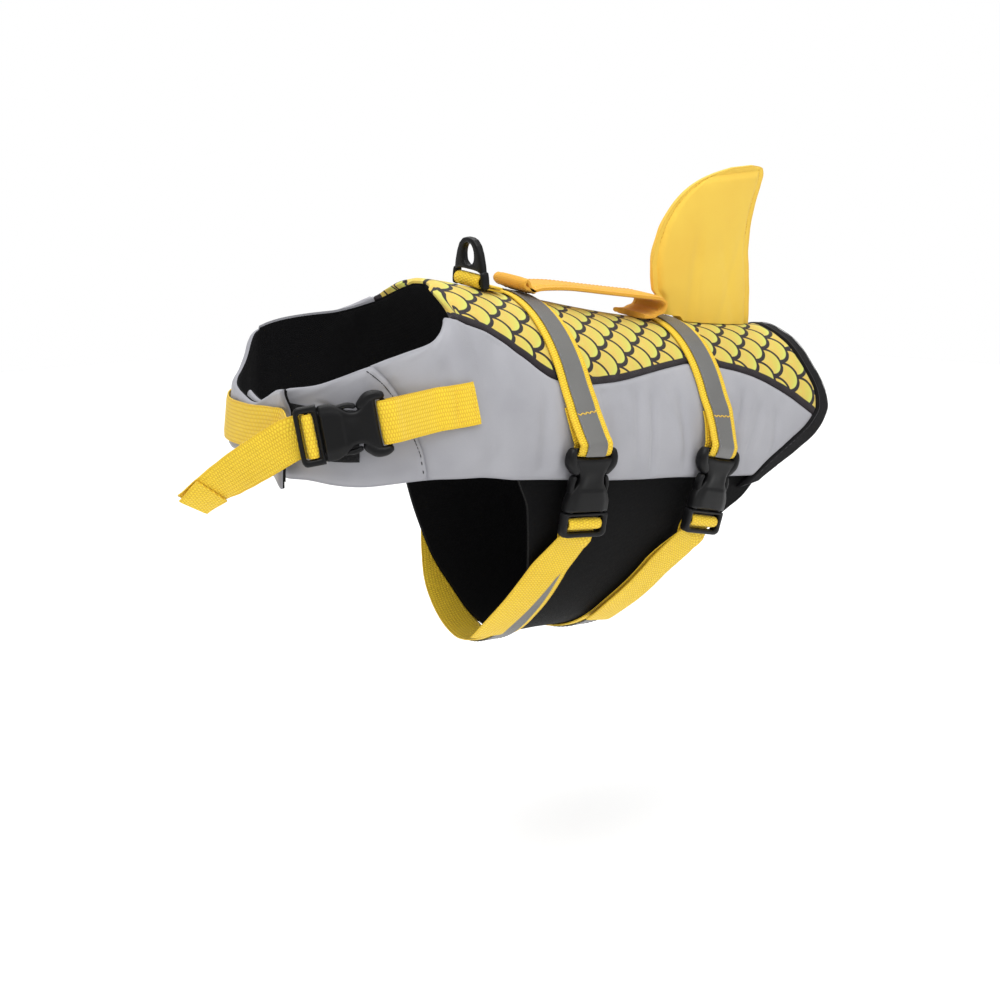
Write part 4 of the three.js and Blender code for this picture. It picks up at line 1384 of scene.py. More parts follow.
def spread(stations: Stations, step: float) -> Stations:
    """A smooth line with even steps through the points.

    Args:
        stations: The points it passes through.
        step: How far apart the new ones are, in millimetres.

    Returns:
        The new points.
    """
    points = stations.middle
    gaps = np.linalg.norm(np.diff(points, axis=0), axis=1)
    at = np.concatenate([[0], np.cumsum(gaps)])
    slope = np.diff(points, axis=0) / gaps[:, None]
    weight = gaps[1:, None] / (gaps[:-1, None] + gaps[1:, None])
    tangent = np.concatenate([slope[:1], slope[:-1] * weight + slope[1:] * (1 - weight), slope[-1:]])
    new = np.linspace(0, at[-1], max(3, int(round(at[-1] / step))))
    i = np.clip(np.searchsorted(at, new, side="right") - 1, 0, len(gaps) - 1)
    h = gaps[i][:, None]
    t = ((new - at[i]) / gaps[i])[:, None]
    middle = ((1 + 2 * t) * (1 - t) ** 2 * points[i] + t * t * (3 - 2 * t) * points[i + 1]
              + h * (t * (1 - t) ** 2 * tangent[i] - t * t * (1 - t) * tangent[i + 1]))
    return Stations(middle, unit(mix(stations.across[i], stations.across[i + 1], smooth(0, 1, t))))


def outward(point: Array, normal: Array) -> Array:
    """The one of a strip's two face directions that points out of the jacket."""
    away = np.array([point[0], min(point[1] + 60, 0), point[2] + 60])
    return normal if float(np.dot(normal, away)) > 0 else -normal


@dataclass
class Ribbon:
    """A flat strip of webbing, tape or cloth along a line of points."""

    name: str
    stations: Stations
    width: float
    thick: float
    cloth: Cloth
    slot: str
    replaces: Sequence[str] = ()
    rests_on: Sequence[str] = ()
    step: float = 1.8
    across: int = 8
    round_edge: float = 0.5
    crown: float = 0.0
    held: str = "stretched"
    rim: float = 0.0

    def frames(self) -> tuple[Array, Array, Array, Array]:
        """The strip's middle line in even steps.

        Returns:
            Its points, the directions across and out at each, and the lengths along it.
        """
        run = spread(self.stations, self.step)
        along = tangents(run.middle)
        side = unit(run.across - along * np.sum(run.across * along, 1, keepdims=True))
        length = np.concatenate([[0], np.cumsum(np.linalg.norm(np.diff(run.middle, axis=0), axis=1))])
        return run.middle, side, np.cross(along, side), length

    def build(self) -> bpy.types.Object:
        """Returns:
            The object.
        """
        middle, side, out, length = self.frames()
        count = len(middle) - 1
        mesh = slab(count, self.across)
        u, v, w = corners(mesh).T
        place = u * count
        i = np.clip(place.astype(int), 0, count - 1)
        f = (place - i)[:, None]
        centre, sideways, normal = (mix(a[i], a[i + 1], f) for a in (middle, side, out))
        x = (v - 0.5) * self.width
        near = np.clip((self.width / 2 - np.abs(x)) / max(self.thick * 1.2, 0.6), 0, 1)
        half = self.thick / 2 * (1 - self.round_edge + self.round_edge * np.sqrt(1 - (1 - near) ** 2))
        half = half + self.crown * np.sqrt(np.clip(1 - (2 * x / self.width) ** 2, 0, 1))
        if self.rim:
            half = half - self.rim * np.exp(-(((self.width / 2 - np.abs(x)) - 3.6) / 1.1) ** 2)
        height = (2 * w - 1) * half
        move_to(mesh, centre + sideways * x[:, None] + normal * height[:, None])
        # The seam attribute gives woven cloths painted shade near the strip's edges, and full painted shade
        # on its under face.
        made = Piece(self.name, mesh, (self.cloth,), JACKET, self.replaces, self.slot,
                     np.stack([u * length[-1], x], 1),
                     {"seam": np.where(w > 0.4, self.width / 2 - np.abs(x), 0)}).finish()
        log.info("%s: %.0f mm long", self.name, length[-1])
        return made

    def stitch_points(self, offset: float, start: float, end: float, pitch: float) -> list[tuple]:
        """Places for stitches along the strip's outer face.

        Args:
            offset: How far from the middle line.
            start: Where the row starts, as a length.
            end: Where it ends, negative from the far end.
            pitch: The length of one stitch and its gap.

        Returns:
            Pairs of point and direction, with the outward direction.
        """
        middle, side, out, length = self.frames()
        end = end if end > 0 else length[-1] + end
        found = []
        along = tangents(middle)
        for at in np.arange(start + pitch / 2, end, pitch):
            i = int(np.argmin(np.abs(length - at)))
            up = outward(middle[i], out[i])
            point = middle[i] + side[i] * offset + up * (self.thick / 2 + self.crown * 0.6)
            found.append((point + along[i] * (at - length[i]), along[i], up))
        return found


def webbing_strip(name: str, stations: Stations, node: str, rests_on: Sequence[str],
                  **more: object) -> Ribbon:
    """A strip of the yellow webbing, which stands for a node if one is named."""
    return Ribbon(name, stations, WEBBING_WIDTH, WEBBING, Cloth.WEBBING, "yellow_webbing",
                  (node,) if node else (), rests_on, **more)


def tack(ribbon: Ribbon, at: float, half: float, count: int) -> list[tuple]:
    """Places for a zigzag row of stitches across a strip.

    Args:
        ribbon: The strip.
        at: How far along it the row lies, negative from the far end.
        half: How far the row reaches from the middle line.
        count: How many stitches.

    Returns:
        Point, direction and outward direction of each stitch.
    """
    middle, side, out, length = ribbon.frames()
    at = at if at > 0 else length[-1] + at
    i = int(np.argmin(np.abs(length - at)))
    along = tangents(middle)[i]
    up = outward(middle[i], out[i])
    found = []
    for k in range(count):
        x = half * (2 * (k + 0.5) / count - 1)
        way = unit(side[i] + along * (0.8 if k % 2 else -0.8))
        found.append((middle[i] + side[i] * x + up * ribbon.thick / 2, way, up))
    return found


def stitches(name: str, points: Sequence[tuple], length: float, thick: float, cloth: Cloth,
             slot: str) -> None:
    """Makes a row of short threads that dip at both ends.

    Args:
        name: The piece's name.
        points: Point, direction and outward direction of each stitch, in millimetres.
        length: A stitch's length.
        thick: The thread's thickness.
        cloth: Its finish.
        slot: A slot name, which is not used.
    """
    mesh = bmesh.new()
    sides, rings = 5, 4
    turns = [FULL_TURN * k / sides for k in range(sides)]
    for point, along, out in points:
        point, along, out = (np.array(v, float) for v in (point, along, out))
        side = np.cross(out, along)
        loops = []
        for r in range(rings + 1):
            t = r / rings
            rise = math.sin(math.pi * t)
            size = thick / 2 * (0.55 + 0.45 * rise)
            centre = point + along * (t - 0.5) * length + out * thick * (0.30 * rise - 0.25)
            loops.append([mesh.verts.new((centre + (side * math.cos(a) + out * math.sin(a)) * size) * MM)
                          for a in turns])
        join_rings(mesh, loops, False)
    Piece(name, mesh, (cloth,), JACKET, (), slot).finish()


def surface_stitches(line: Route, count: int) -> list[tuple]:
    """Places for stitches on the worn form.

    Args:
        line: Place, angle and height at a share of the seam.
        count: How many stitches.

    Returns:
        Point, direction and outward direction of each.
    """
    found = []
    for i in range(count):
        t = (i + 0.5) / count
        here = on_route(line, t)
        along = unit(on_route(line, min(t + 0.2 / count, 1)) - on_route(line, max(t - 0.2 / count, 0)))
        out = FORM.outward(*line(t)[:2])
        found.append((here, along, unit(out - along * np.dot(out, along))))
    return found


@dataclass(frozen=True)
class GirthStrap:
    """One girth strap: where its stitching ends, where its buckle lies and where its free end goes."""

    name: str
    stitch: float
    bar_end: Triple
    lock_end: Triple
    tail_end: float
    tail_shift: float
    lock_stretch: float = 1.12
    rise: float = 17.0
    tape_start: int = 12

    def seat(self) -> Seat:
        """Its buckle's frame."""
        return Seat.between(self.bar_end, self.lock_end, self.lock_stretch)

    def angle_at(self, y: float) -> float:
        """The angle round the body at a distance up the buckle."""
        span = float(np.linalg.norm(FORM.lifted(*self.bar_end) - FORM.lifted(*self.lock_end)))
        return (self.bar_end[1] + self.lock_end[1]) / 2 - y * ((self.lock_end[1] - self.bar_end[1]) / span)

    def route(self) -> tuple[Stations, Stations]:
        """Lays the strap down to its buckle and back, over the back, under the belly and through the lock.

        Returns:
            The strap's and the tape's runs.
        """
        place_at = columns(GIRTH_COLUMNS, GIRTH_ROWS)[self.name.removesuffix("_girth")]
        stitch, seat = self.stitch, self.seat()
        low = self.lock_end[1] + self.rise
        belly = WEBBING / 2
        tail_laid = belly + LAYER + TAPE_LAYER + GAP

        def at(angle: float) -> float:
            """The strap's place at an angle."""
            return float(place_at(abs(angle)))

        def between(start: float, end: float, height: float, shift: float = 0.0) -> Route:
            """A run between two angles at one height, moved forward where it starts."""
            return lambda t: (at(mix(start, end, t)) - shift * (1 - t), mix(start, end, t), height)

        hem = float(FORM.hem_angle(at(95)))

        def over(t: float) -> Triple:
            """The run over the back and round the far side."""
            angle = mix(stitch, -180.0, t)
            lift = LAYER * float(smooth(stitch - 7, stitch, angle)) if angle > 0 else 0.0
            return at(angle), angle, mix(LAID, belly, float(smooth(hem + 1, hem + 10, abs(angle)))) + lift

        def shift_at(t: float) -> float:
            """How far forward the free end lies."""
            return self.tail_shift * float(smooth(-0.9, 1, t))

        def tail(t: float) -> Triple:
            """The free end."""
            angle = mix(low, self.tail_end, t)
            return at(angle) - shift_at(t), angle, tail_laid

        bar, lock = self.angle_at(26), self.angle_at(-27)
        sewn = between(stitch, bar, LAID)
        taped = [
            laid(1, sewn).part(0, 1),
            run_into(5, sewn, seat, LOOP_ROWS[0]),
            seat.stations(LOOP_ROWS),
            run_into(5, between(stitch, bar, LAID + LAYER), seat, LOOP_ROWS[-1]).reversed(),
            laid(58, over),
            laid(20, between(179.9, low, belly)),
        ]
        strap = join(taped + [
            run_into(4, between(low, lock, belly), seat, LADDER_ROWS[0]),
            seat.stations(LADDER_ROWS),
            run_into(4, between(low, lock, tail_laid, shift_at(0)), seat, LADDER_ROWS[-1]).reversed(),
            laid(12, tail),
        ])
        out = norm_cross(unit(np.gradient(strap.middle, axis=0)), strap.across)
        raised = Stations(strap.middle - out * (WEBBING / 2 + 1.5 * GAP + TAPE / 2), strap.across)
        return strap, raised.part(self.tape_start, sum(len(part.middle) for part in taped))


def squircle(count: int, power: float) -> list[tuple[float, float]]:
    """Points round a rounded square that reaches from -1 to 1.

    Args:
        count: How many points.
        power: 2 for a circle, more for squarer.

    Returns:
        The points.
    """
    found = []
    for k in range(count):
        turn = FULL_TURN * (k + 0.5) / count
        c, s = math.cos(turn), math.sin(turn)
        found.append((math.copysign(abs(c) ** (2 / power), c), math.copysign(abs(s) ** (2 / power), s)))
    return found


def join_rings(mesh: Mesh, rings: Sequence[Sequence[bmesh.types.BMVert]], closed: bool) -> None:
    """Skins rings of points, and closes the ends of an open run.

    Args:
        mesh: The mesh they lie in.
        rings: Rings with the same number of points.
        closed: Whether the last ring joins the first.
    """
    count = len(rings[0])
    pairs = list(zip(rings, rings[1:])) + ([(rings[-1], rings[0])] if closed else [])
    for a, b in pairs:
        for k in range(count):
            mesh.faces.new((a[k], a[(k + 1) % count], b[(k + 1) % count], b[k]))
    if not closed:
        mesh.faces.new(list(reversed(rings[0])))
        mesh.faces.new(rings[-1])


def sweep(mesh: Mesh, path: Sequence[tuple], power: float = 2.6, sides: int = 16) -> None:
    """Adds a rounded rod along a flat path.

    Args:
        mesh: The mesh it goes into.
        path: Rows of x, y, z, half width in the plane and half height out of it.
        power: How square its section is.
        sides: Points round its section.
    """
    rows = np.array(path, float)
    at = np.concatenate([[0], np.cumsum(np.linalg.norm(np.diff(rows[:, :2], axis=0), axis=1))])
    length = np.linspace(0, at[-1], max(8, int(at[-1] / 0.9)) + 1)
    fine = np.stack([Column(at, rows[:, i])(length) for i in range(5)], 1)
    way = tangents(fine[:, :3])
    side = unit(np.stack([way[:, 1], -way[:, 0], np.zeros(len(way))], 1))
    cap = float(min(fine[0, 3], fine[-1, 3], at[-1] / 3))
    inset = np.clip(np.minimum(length, at[-1] - length) / cap + 0.03, 0, 1)
    shrink = np.sqrt(np.clip(1 - (1 - inset) ** 2, 0.02, 1))
    section = squircle(sides, power)
    rings = []
    for centre, right, half, size in zip(fine[:, :3], side, fine[:, 3:], shrink):
        up = np.array([0, 0, half[1] * size])
        rings.append([mesh.verts.new(centre + right * c * half[0] * size + up * s) for c, s in section])
    join_rings(mesh, rings, False)


def sweep_pair(mesh: Mesh, path: Sequence[tuple], power: float = 2.6) -> None:
    """Adds a rounded rod and its mirror image across the middle."""
    sweep(mesh, path, power)
    sweep(mesh, [(-row[0], *row[1:]) for row in path], power)


def cross_bar(half: float, y: float, thick: float, height: float) -> list[tuple]:
    """The path of a straight rod across the middle, from its half length and half thicknesses."""
    return [(x, y, 0, thick, height) for x in (-half, 0, half)]


def whole(half: Sequence[tuple]) -> list[tuple]:
    """A closed outline from its right half."""
    return [*half, *((-x, y) for x, y in reversed(half))]


def frame_loop(mesh: Mesh, inner: Array, outer: Array, half: float, sides: int = 16) -> None:
    """Adds a closed rounded frame.

    Args:
        mesh: The mesh it goes into.
        inner: Points of its inner outline.
        outer: As many of its outer one.
        half: Half its height.
        sides: Points round its section.
    """
    section = squircle(sides, 3.4)
    rings = [[mesh.verts.new((*(mix(a, b, 0.5 + 0.5 * c)), half * s)) for c, s in section]
             for a, b in zip(inner, outer)]
    join_rings(mesh, rings, True)


def cast(centre: Sequence[float], outline: Sequence[tuple[float, float]], turns: Array) -> Array:
    """Where rays from a point meet a closed outline round it.

    Args:
        centre: The rays' start.
        outline: The outline's corners, closed without repeating the first.
        turns: The rays' angles in radians.

    Returns:
        A point for each ray.
    """
    a = np.array(outline, float) - centre
    b = np.roll(a, -1, axis=0)
    found = []
    for turn in turns:
        d = np.array([math.cos(turn), math.sin(turn)])
        best = 0.0
        for p, q in zip(a, b):
            e = q - p
            cross = d[0] * e[1] - d[1] * e[0]
            if abs(cross) < 1e-9:
                continue
            t = (p[0] * e[1] - p[1] * e[0]) / cross
            s = (p[0] * d[1] - p[1] * d[0]) / cross
            if t > best and -1e-6 <= s <= 1 + 1e-6:
                best = t
        found.append(np.array(centre, float) + d * best)
    return np.array(found)


@dataclass(frozen=True)
class Buckle:
    """A side-release buckle: the socket with its ears and bar, and the plug with its arms and ladder lock."""

    name: str
    seat: Seat
    bar_height: float = 22.2
    lock_bar_height: float = -16.8
    lock_half: float = 2.65

    def socket_mesh(self) -> Mesh:
        """The socket in the buckle's own frame.

        Returns:
            Its mesh, in millimetres.
        """
        mesh = slab(44, 22)
        u, v, w = corners(mesh).T
        s = np.sin(math.pi / 2 * (2 * v - 1))
        bottom, top = SOCKET_ROWS[0][0], 18.1 + 0.7 * s ** 2
        y = mix(bottom, top, u)
        half = Column(*zip(*SOCKET_ROWS))(y)
        end = np.minimum((y - bottom) / 1.4, (top - y) / 1.8)
        roll = 0.3 + 0.7 * np.sqrt(1 - (1 - np.clip(end, 0, 1)) ** 2)
        edge = 0.28 + 0.72 * (1 - np.abs(s) ** 4) ** 0.25
        dome = 3.75 + 0.45 * smooth(2, -6, -y) - 0.7 * smooth(6, 15, y)
        hollow = 0.9 * np.exp(-((y - 5.5) / 4.4) ** 2) * np.exp(-(s / 0.62) ** 4)
        plate = 0.6 * smooth(-1.4, 0.4, -y) * smooth(-0.8, -0.7, -np.abs(s)) * smooth(-10.4, -9.6, y)
        z = (2 * w - 1) * (dome * edge * roll - np.where(w > 0.75, hollow - plate, 0))
        for vertex, point in zip(mesh.verts, np.stack([s * half, y, z], 1)):
            vertex.co = point
        sweep_pair(mesh, EAR_ROWS)
        sweep(mesh, cross_bar(12.6, self.bar_height, 1.35, 1.15))
        return mesh

    def plug_mesh(self) -> Mesh:
        """The plug in the buckle's own frame.

        Returns:
            Its mesh, in millimetres.
        """
        mesh = bmesh.new()
        turns = np.linspace(0, FULL_TURN, 72, endpoint=False)
        outer, inner = (cast((0.0, -16.9), whole(half), turns) for half in (LOCK_RIM, LOCK_OPENING))
        frame_loop(mesh, inner, outer, self.lock_half)
        sweep(mesh, cross_bar(13.2, self.lock_bar_height, 0.95, 0.95))
        sweep_pair(mesh, ARM_ROWS, 3.0)
        sweep(mesh, TONGUE_ROWS, 3.0)
        return mesh

    def build(self) -> None:
        """Makes both parts where they belong."""
        for part, mesh in (("socket", self.socket_mesh()), ("plug", self.plug_mesh())):
            move_to(mesh, self.seat.place_points(corners(mesh)))
            node = f"{self.name}_buckle_{part}"
            Piece(node + "_moulded", mesh, (Cloth.PLASTIC,), JACKET, (node,), "black_plastic",
                  smooth_angle=50).finish()


def spine_top(y: float) -> float:
    """The height of the back panel's outer face along the spine.

    Args:
        y: How far back, from the origin.

    Returns:
        The height.
    """
    place = y - WITHERS
    for _ in range(4):
        place += y - FORM.lifted(place, 0.0, PANEL)[1]
    return float(FORM.lifted(place, 0.0, PANEL)[2])


def on_spine(rows: Sequence[tuple[float, float]]) -> Stations:
    """A run of points over the spine, given as y and z."""
    middle = np.array([(0.0, y, z) for y, z in rows])
    return Stations(middle, np.repeat(np.array([[1.0, 0.0, 0.0]]), len(rows), 0))


@dataclass(frozen=True)
class LeashRing:
    """The moulded ring, its bar and the webbing that holds it."""

    y: float = -83.0
    bar: float = 2.0
    room: float = 0.5
    half: float = 2.2
    eye_height: float = 14.0
    eye: tuple[float, float] = (4.8, 6.2)

    def axis_height(self) -> float:
        """The height of the bar's axis over the origin."""
        return spine_top(self.y) + GAP + WEBBING + self.room + self.bar

    def loop(self) -> Ribbon:
        """The webbing: forward along the spine, round the bar and back.

        Returns:
            The webbing's strip.
        """
        around = self.bar + self.room + WEBBING / 2
        height = self.axis_height()

        def layer(y: float, count: int) -> tuple[float, float]:
            """A point on the panel, or on the layer below."""
            return y, spine_top(y) + GAP + WEBBING / 2 + count * LAYER

        turn = []
        for i in range(13):
            angle = math.radians(mix(-72, 190, i / 12))
            turn.append((self.y - around * math.cos(angle), height + around * math.sin(angle)))
        rows = [*(layer(y, 0) for y in (-69.5, -73, -76.5, -80)), *turn,
                *(layer(y, 1) for y in (-77.6, -75.5, -72.5, -69.5))]
        return webbing_strip("ring_webbing_loop", on_spine(rows), "ring_webbing", ("back_panel",), step=0.9)

    def build(self) -> None:
        """Makes the webbing and the ring."""
        self.loop().build()
        mesh = bmesh.new()
        turns = np.linspace(0, FULL_TURN, 96, endpoint=False)
        outer = cast((0.0, self.eye_height), whole(RING_OUTLINE), turns)
        inner = np.stack([self.eye[0] * np.cos(turns), self.eye_height + self.eye[1] * np.sin(turns)], 1)
        frame_loop(mesh, inner, outer, self.half, 20)
        sweep_pair(mesh, RING_LEG_ROWS, 3.0)
        sweep(mesh, cross_bar(12.3, 0, 1.95, 1.95), 2.0)
        x, up, out = corners(mesh).T
        move_to(mesh, np.stack([x, self.y - out, self.axis_height() + up], 1))
        Piece("leash_ring_moulded", mesh, (Cloth.PLASTIC,), RING, ("leash_ring",), "black_plastic",
              smooth_angle=50).finish()


@dataclass(frozen=True)
class Fin:
    """The fin: two cloths over foam, with a stitched rim."""

    bottom: float = -5.0
    top: float = 78.0
    rim: float = 3.4
    stitch_pitch: float = 2.9
    front, rear = (columns(FIN_COLUMNS, FIN_ROWS)[key] for key in ("front", "rear"))

    def place(self, u: Array, v: Array) -> Pair:
        """Where points of the fin lie.

        Args:
            u: Shares from its front edge to its rear one.
            v: Shares from its foot to its tip.

        Returns:
            Distances back and heights.
        """
        height = mix(self.bottom, self.top, v)
        y = mix(self.front(height), self.rear(height), u)
        line = np.linspace(30, 140, 56)
        tops = np.array([spine_top(a) for a in line])
        over_strap = 2 * GAP + WEBBING + TAPE_LAYER + GAP
        foot = np.interp(y, line, tops) + mix(over_strap, GAP, smooth(63.5, 67, y))
        return y, height + (foot - self.bottom) * (1 - smooth(0, 0.3, v))

    def lean(self, y: Array, z: Array) -> Array:
        """How far the cloth leans to one side."""
        return 1.4 * np.sin((y - 60) / 23) * smooth(20, self.top, z)

    def build(self) -> None:
        """Makes the fin and the stitches along its rim."""
        mesh = slab(60, 72)
        u, v, w = corners(mesh).T
        y, z = self.place(u, v)
        front, rear = self.place(np.zeros_like(u), v)[0], self.place(np.ones_like(u), v)[0]
        below_top = (self.top - mix(self.bottom, self.top, v)) * 0.9
        rim = np.minimum(np.minimum(y - front, rear - y), below_top)
        half = 0.9 + 4.3 * np.sqrt(4 * u * (1 - u)) * np.sqrt(1 - v ** 2.5)
        flat = 1.15 + 0.12 * np.sin(z / 2.4)
        half = np.where(rim < self.rim, np.minimum(half, flat), half)
        half = mix(flat, half, smooth(2.9, 6.2, rim)) - 0.45 * np.exp(-((rim - self.rim) / 0.55) ** 2)
        fold = np.zeros_like(z)
        for deep, back, up, slope, wide, low, high in FIN_FOLDS:
            fold += deep * np.exp(-(((y - back) - (z - up) * slope) / wide) ** 2) * (1 - smooth(low, high, z))
        half = half - fold * smooth(4, 10, rim)
        move_to(mesh, np.stack([(2 * w - 1) * np.maximum(half, 0.7) + self.lean(y, z), y, z], 1))
        # The rim distance is the seam attribute, which paints shade on the fin's cloth near its edges.
        made = Piece("fin_cloth", mesh, (Cloth.FIN,), JACKET, ("fin",), "yellow_cloth", np.stack([y, z], 1),
                     {"seam": rim}).finish()
        stitches("fin_rim_stitches", self.rim_stitches(), 2.1, 0.34, Cloth.YELLOW_THREAD, "yellow_cloth")

    def rim_stitches(self) -> list[tuple]:
        """Places for stitches along the rim, on both faces.

        Returns:
            Point, direction and outward direction of each.
        """
        found = []
        for edge, sign in ((0.0, 1.0), (1.0, -1.0)):
            line = np.linspace(0.02, 0.985, 1200)
            y, z = self.place(np.full_like(line, edge), line)
            y = y + sign * self.rim
            at = np.concatenate([[0], np.cumsum(np.hypot(np.diff(y), np.diff(z)))])
            for s in np.arange(1.5, at[-1] - 3, self.stitch_pitch):
                i = int(np.searchsorted(at, s))
                if z[i] < spine_top(float(y[i])) + 2.5:
                    continue
                along = unit(np.array([0.0, y[i] - y[i - 1], z[i] - z[i - 1]]))
                lean = float(self.lean(y[i], z[i]))
                for side in (1.0, -1.0):
                    found.append(((side * 0.92 + lean, y[i], z[i]), along, (side, 0.0, 0.0)))
        return found


@dataclass(frozen=True)
class Handle:
    """The grab handle: a padded strip whose ends fold under and are sewn down."""

    width: float = HANDLE_WIDTH
    thick: float = HANDLE
    stitch_inset: float = 3.4
    sewn_end: float = 14.0

    def run(self) -> Stations:
        """The handle's middle line, from its folded front end over the arch to its folded rear end.

        Returns:
            The points.
        """
        seat = 1.5 * GAP + WEBBING + TAPE_LAYER + 1.5 * GAP + self.thick / 2
        front = spine_top(-56) + seat
        fold = [(y, front + up) for y, up in HANDLE_FOLD_ROWS]
        end = [(y, spine_top(y) + base + up)
               for y, base, up in ((42, seat, 1), (39.4, seat, 0.1), (36, self.thick / 2, 1.5),
                                   (32, self.thick / 2, 0.7), (28.5, self.thick / 2, 0.5))]
        return on_spine([(-49.5, spine_top(-49.5) + seat), *fold, *HANDLE_ARCH_ROWS, *end])

    def build(self) -> None:
        """Makes the handle and its two rows of stitches."""
        strip = Ribbon("grab_handle_cloth", self.run(), self.width, self.thick, Cloth.YELLOW, "yellow_cloth",
                       ("grab_handle",), ("front_girth_strap_webbing", "rear_girth_strap_webbing"), step=1.2,
                       across=16, crown=0.35, round_edge=0.45, rim=0.35)
        strip.build()
        inset = self.width / 2 - self.stitch_inset
        rows = [point for offset in (-inset, inset)
                for point in strip.stitch_points(offset, self.sewn_end, -self.sewn_end, 2.9)]
        stitches("handle_stitches", rows, 2.1, 0.36, Cloth.YELLOW_THREAD, "yellow_cloth")


def chest_line(t: float) -> Triple:
    """The stitch line beside the seam between chest wing and side.

    Args:
        t: A share of its length.

    Returns:
        Place, angle and height.
    """
    share = mix(0.03, 0.985, t)
    place = float(chest_seam(share)) - 1.7
    top, bottom = wing_edges(1, place)
    return place, float(mix(top, bottom, share)), PANEL - 0.02


def binding_line(u: float) -> Route:
    """A stitch line on the binding.

    Args:
        u: The share of its width at which it runs.

    Returns:
        Its route.
    """
    low, high = 0.02, 0.98
    shares = np.linspace(low, high, 161)
    places, angles = binding_outline(np.full_like(shares, u), shares)

    def at(t: float) -> Triple:
        """The line at one share of its length."""
        share = mix(low, high, t)
        place, angle = (float(np.interp(share, shares, values)) for values in (places, angles))
        return place, angle, PANEL + BINDING_PROUD + 0.02

    return at


def hook_outline(u: Array, v: Array) -> Pair:
    """The hook patch on the left wing, as places and angles for shares along and down."""
    place = mix(-54.4, -88, u)
    return place, FORM.angle_at_height(place, mix(-15, -41.3, v))


def loop_outline(u: Array, v: Array) -> Pair:
    """The loop patch inside the right wing, as places and angles for shares along and down."""
    place = mix(-91, RIGHT_WING_END + 0.3, u)
    top, bottom = wing_edges(-1, place)
    return place, -mix(top + 2, bottom - 2, v)


def foam_panels() -> list[FoamPanel]:
    """The cloth panels, in the order in which they are made.

    Returns:
        The panels.
    """
    sides = ("side_panel_left", "side_panel_right")
    grey = (Cloth.GREY, "grey_cloth")
    patch = dict(edge=0.7, edge_reach=0.8, crease_share=0.0)
    return [
        FoamPanel("back_panel_cloth", back_outline, 190, 116, Cloth.SCALES, "scale_cloth", rests_on=sides),
        FoamPanel("side_panel_left_cloth", side_outline(1), 210, 70, *grey, rests_on=("back_panel_cloth",)),
        FoamPanel("side_panel_right_cloth", side_outline(-1), 150, 50, *grey, rests_on=("back_panel_cloth",)),
        FoamPanel("chest_wing_left_cloth", wing_outline(1), 100, 44, *grey,
                  rests_on=("side_panel_left_cloth",)),
        FoamPanel("chest_wing_right_cloth", wing_outline(-1), 110, 44, *grey, lift=curled_lift,
                  rests_on=("side_panel_right_cloth",)),
        FoamPanel("rear_binding_cloth", binding_outline, 12, 220, Cloth.BINDING, "binding",
                  high=PANEL + BINDING_PROUD, edge=0.55, edge_reach=2.2, crease_share=0.3,
                  rests_on=("back_panel_cloth",)),
        FoamPanel("belly_panel_cloth", belly_outline, 90, 150, Cloth.NEOPRENE, "neoprene",
                  low=-GAP - NEOPRENE,
                  high=-GAP, edge=0.7, edge_reach=2.0, crease_share=0.0, rests_on=sides),
        FoamPanel("hook_patch_cloth", hook_outline, 40, 26, Cloth.FASTENER, "touch_fastener",
                  low=PANEL + PATCH_GAP, high=PANEL + PATCH_GAP + PATCH, rests_on=("chest_wing_left_cloth",),
                  **patch),
        FoamPanel("loop_patch_cloth", loop_outline, 20, 30, Cloth.FASTENER, "touch_fastener",
                  low=-PATCH_GAP - PATCH, high=-PATCH_GAP, lift=curled_lift,
                  rests_on=("chest_wing_right_cloth",), **patch),
    ]


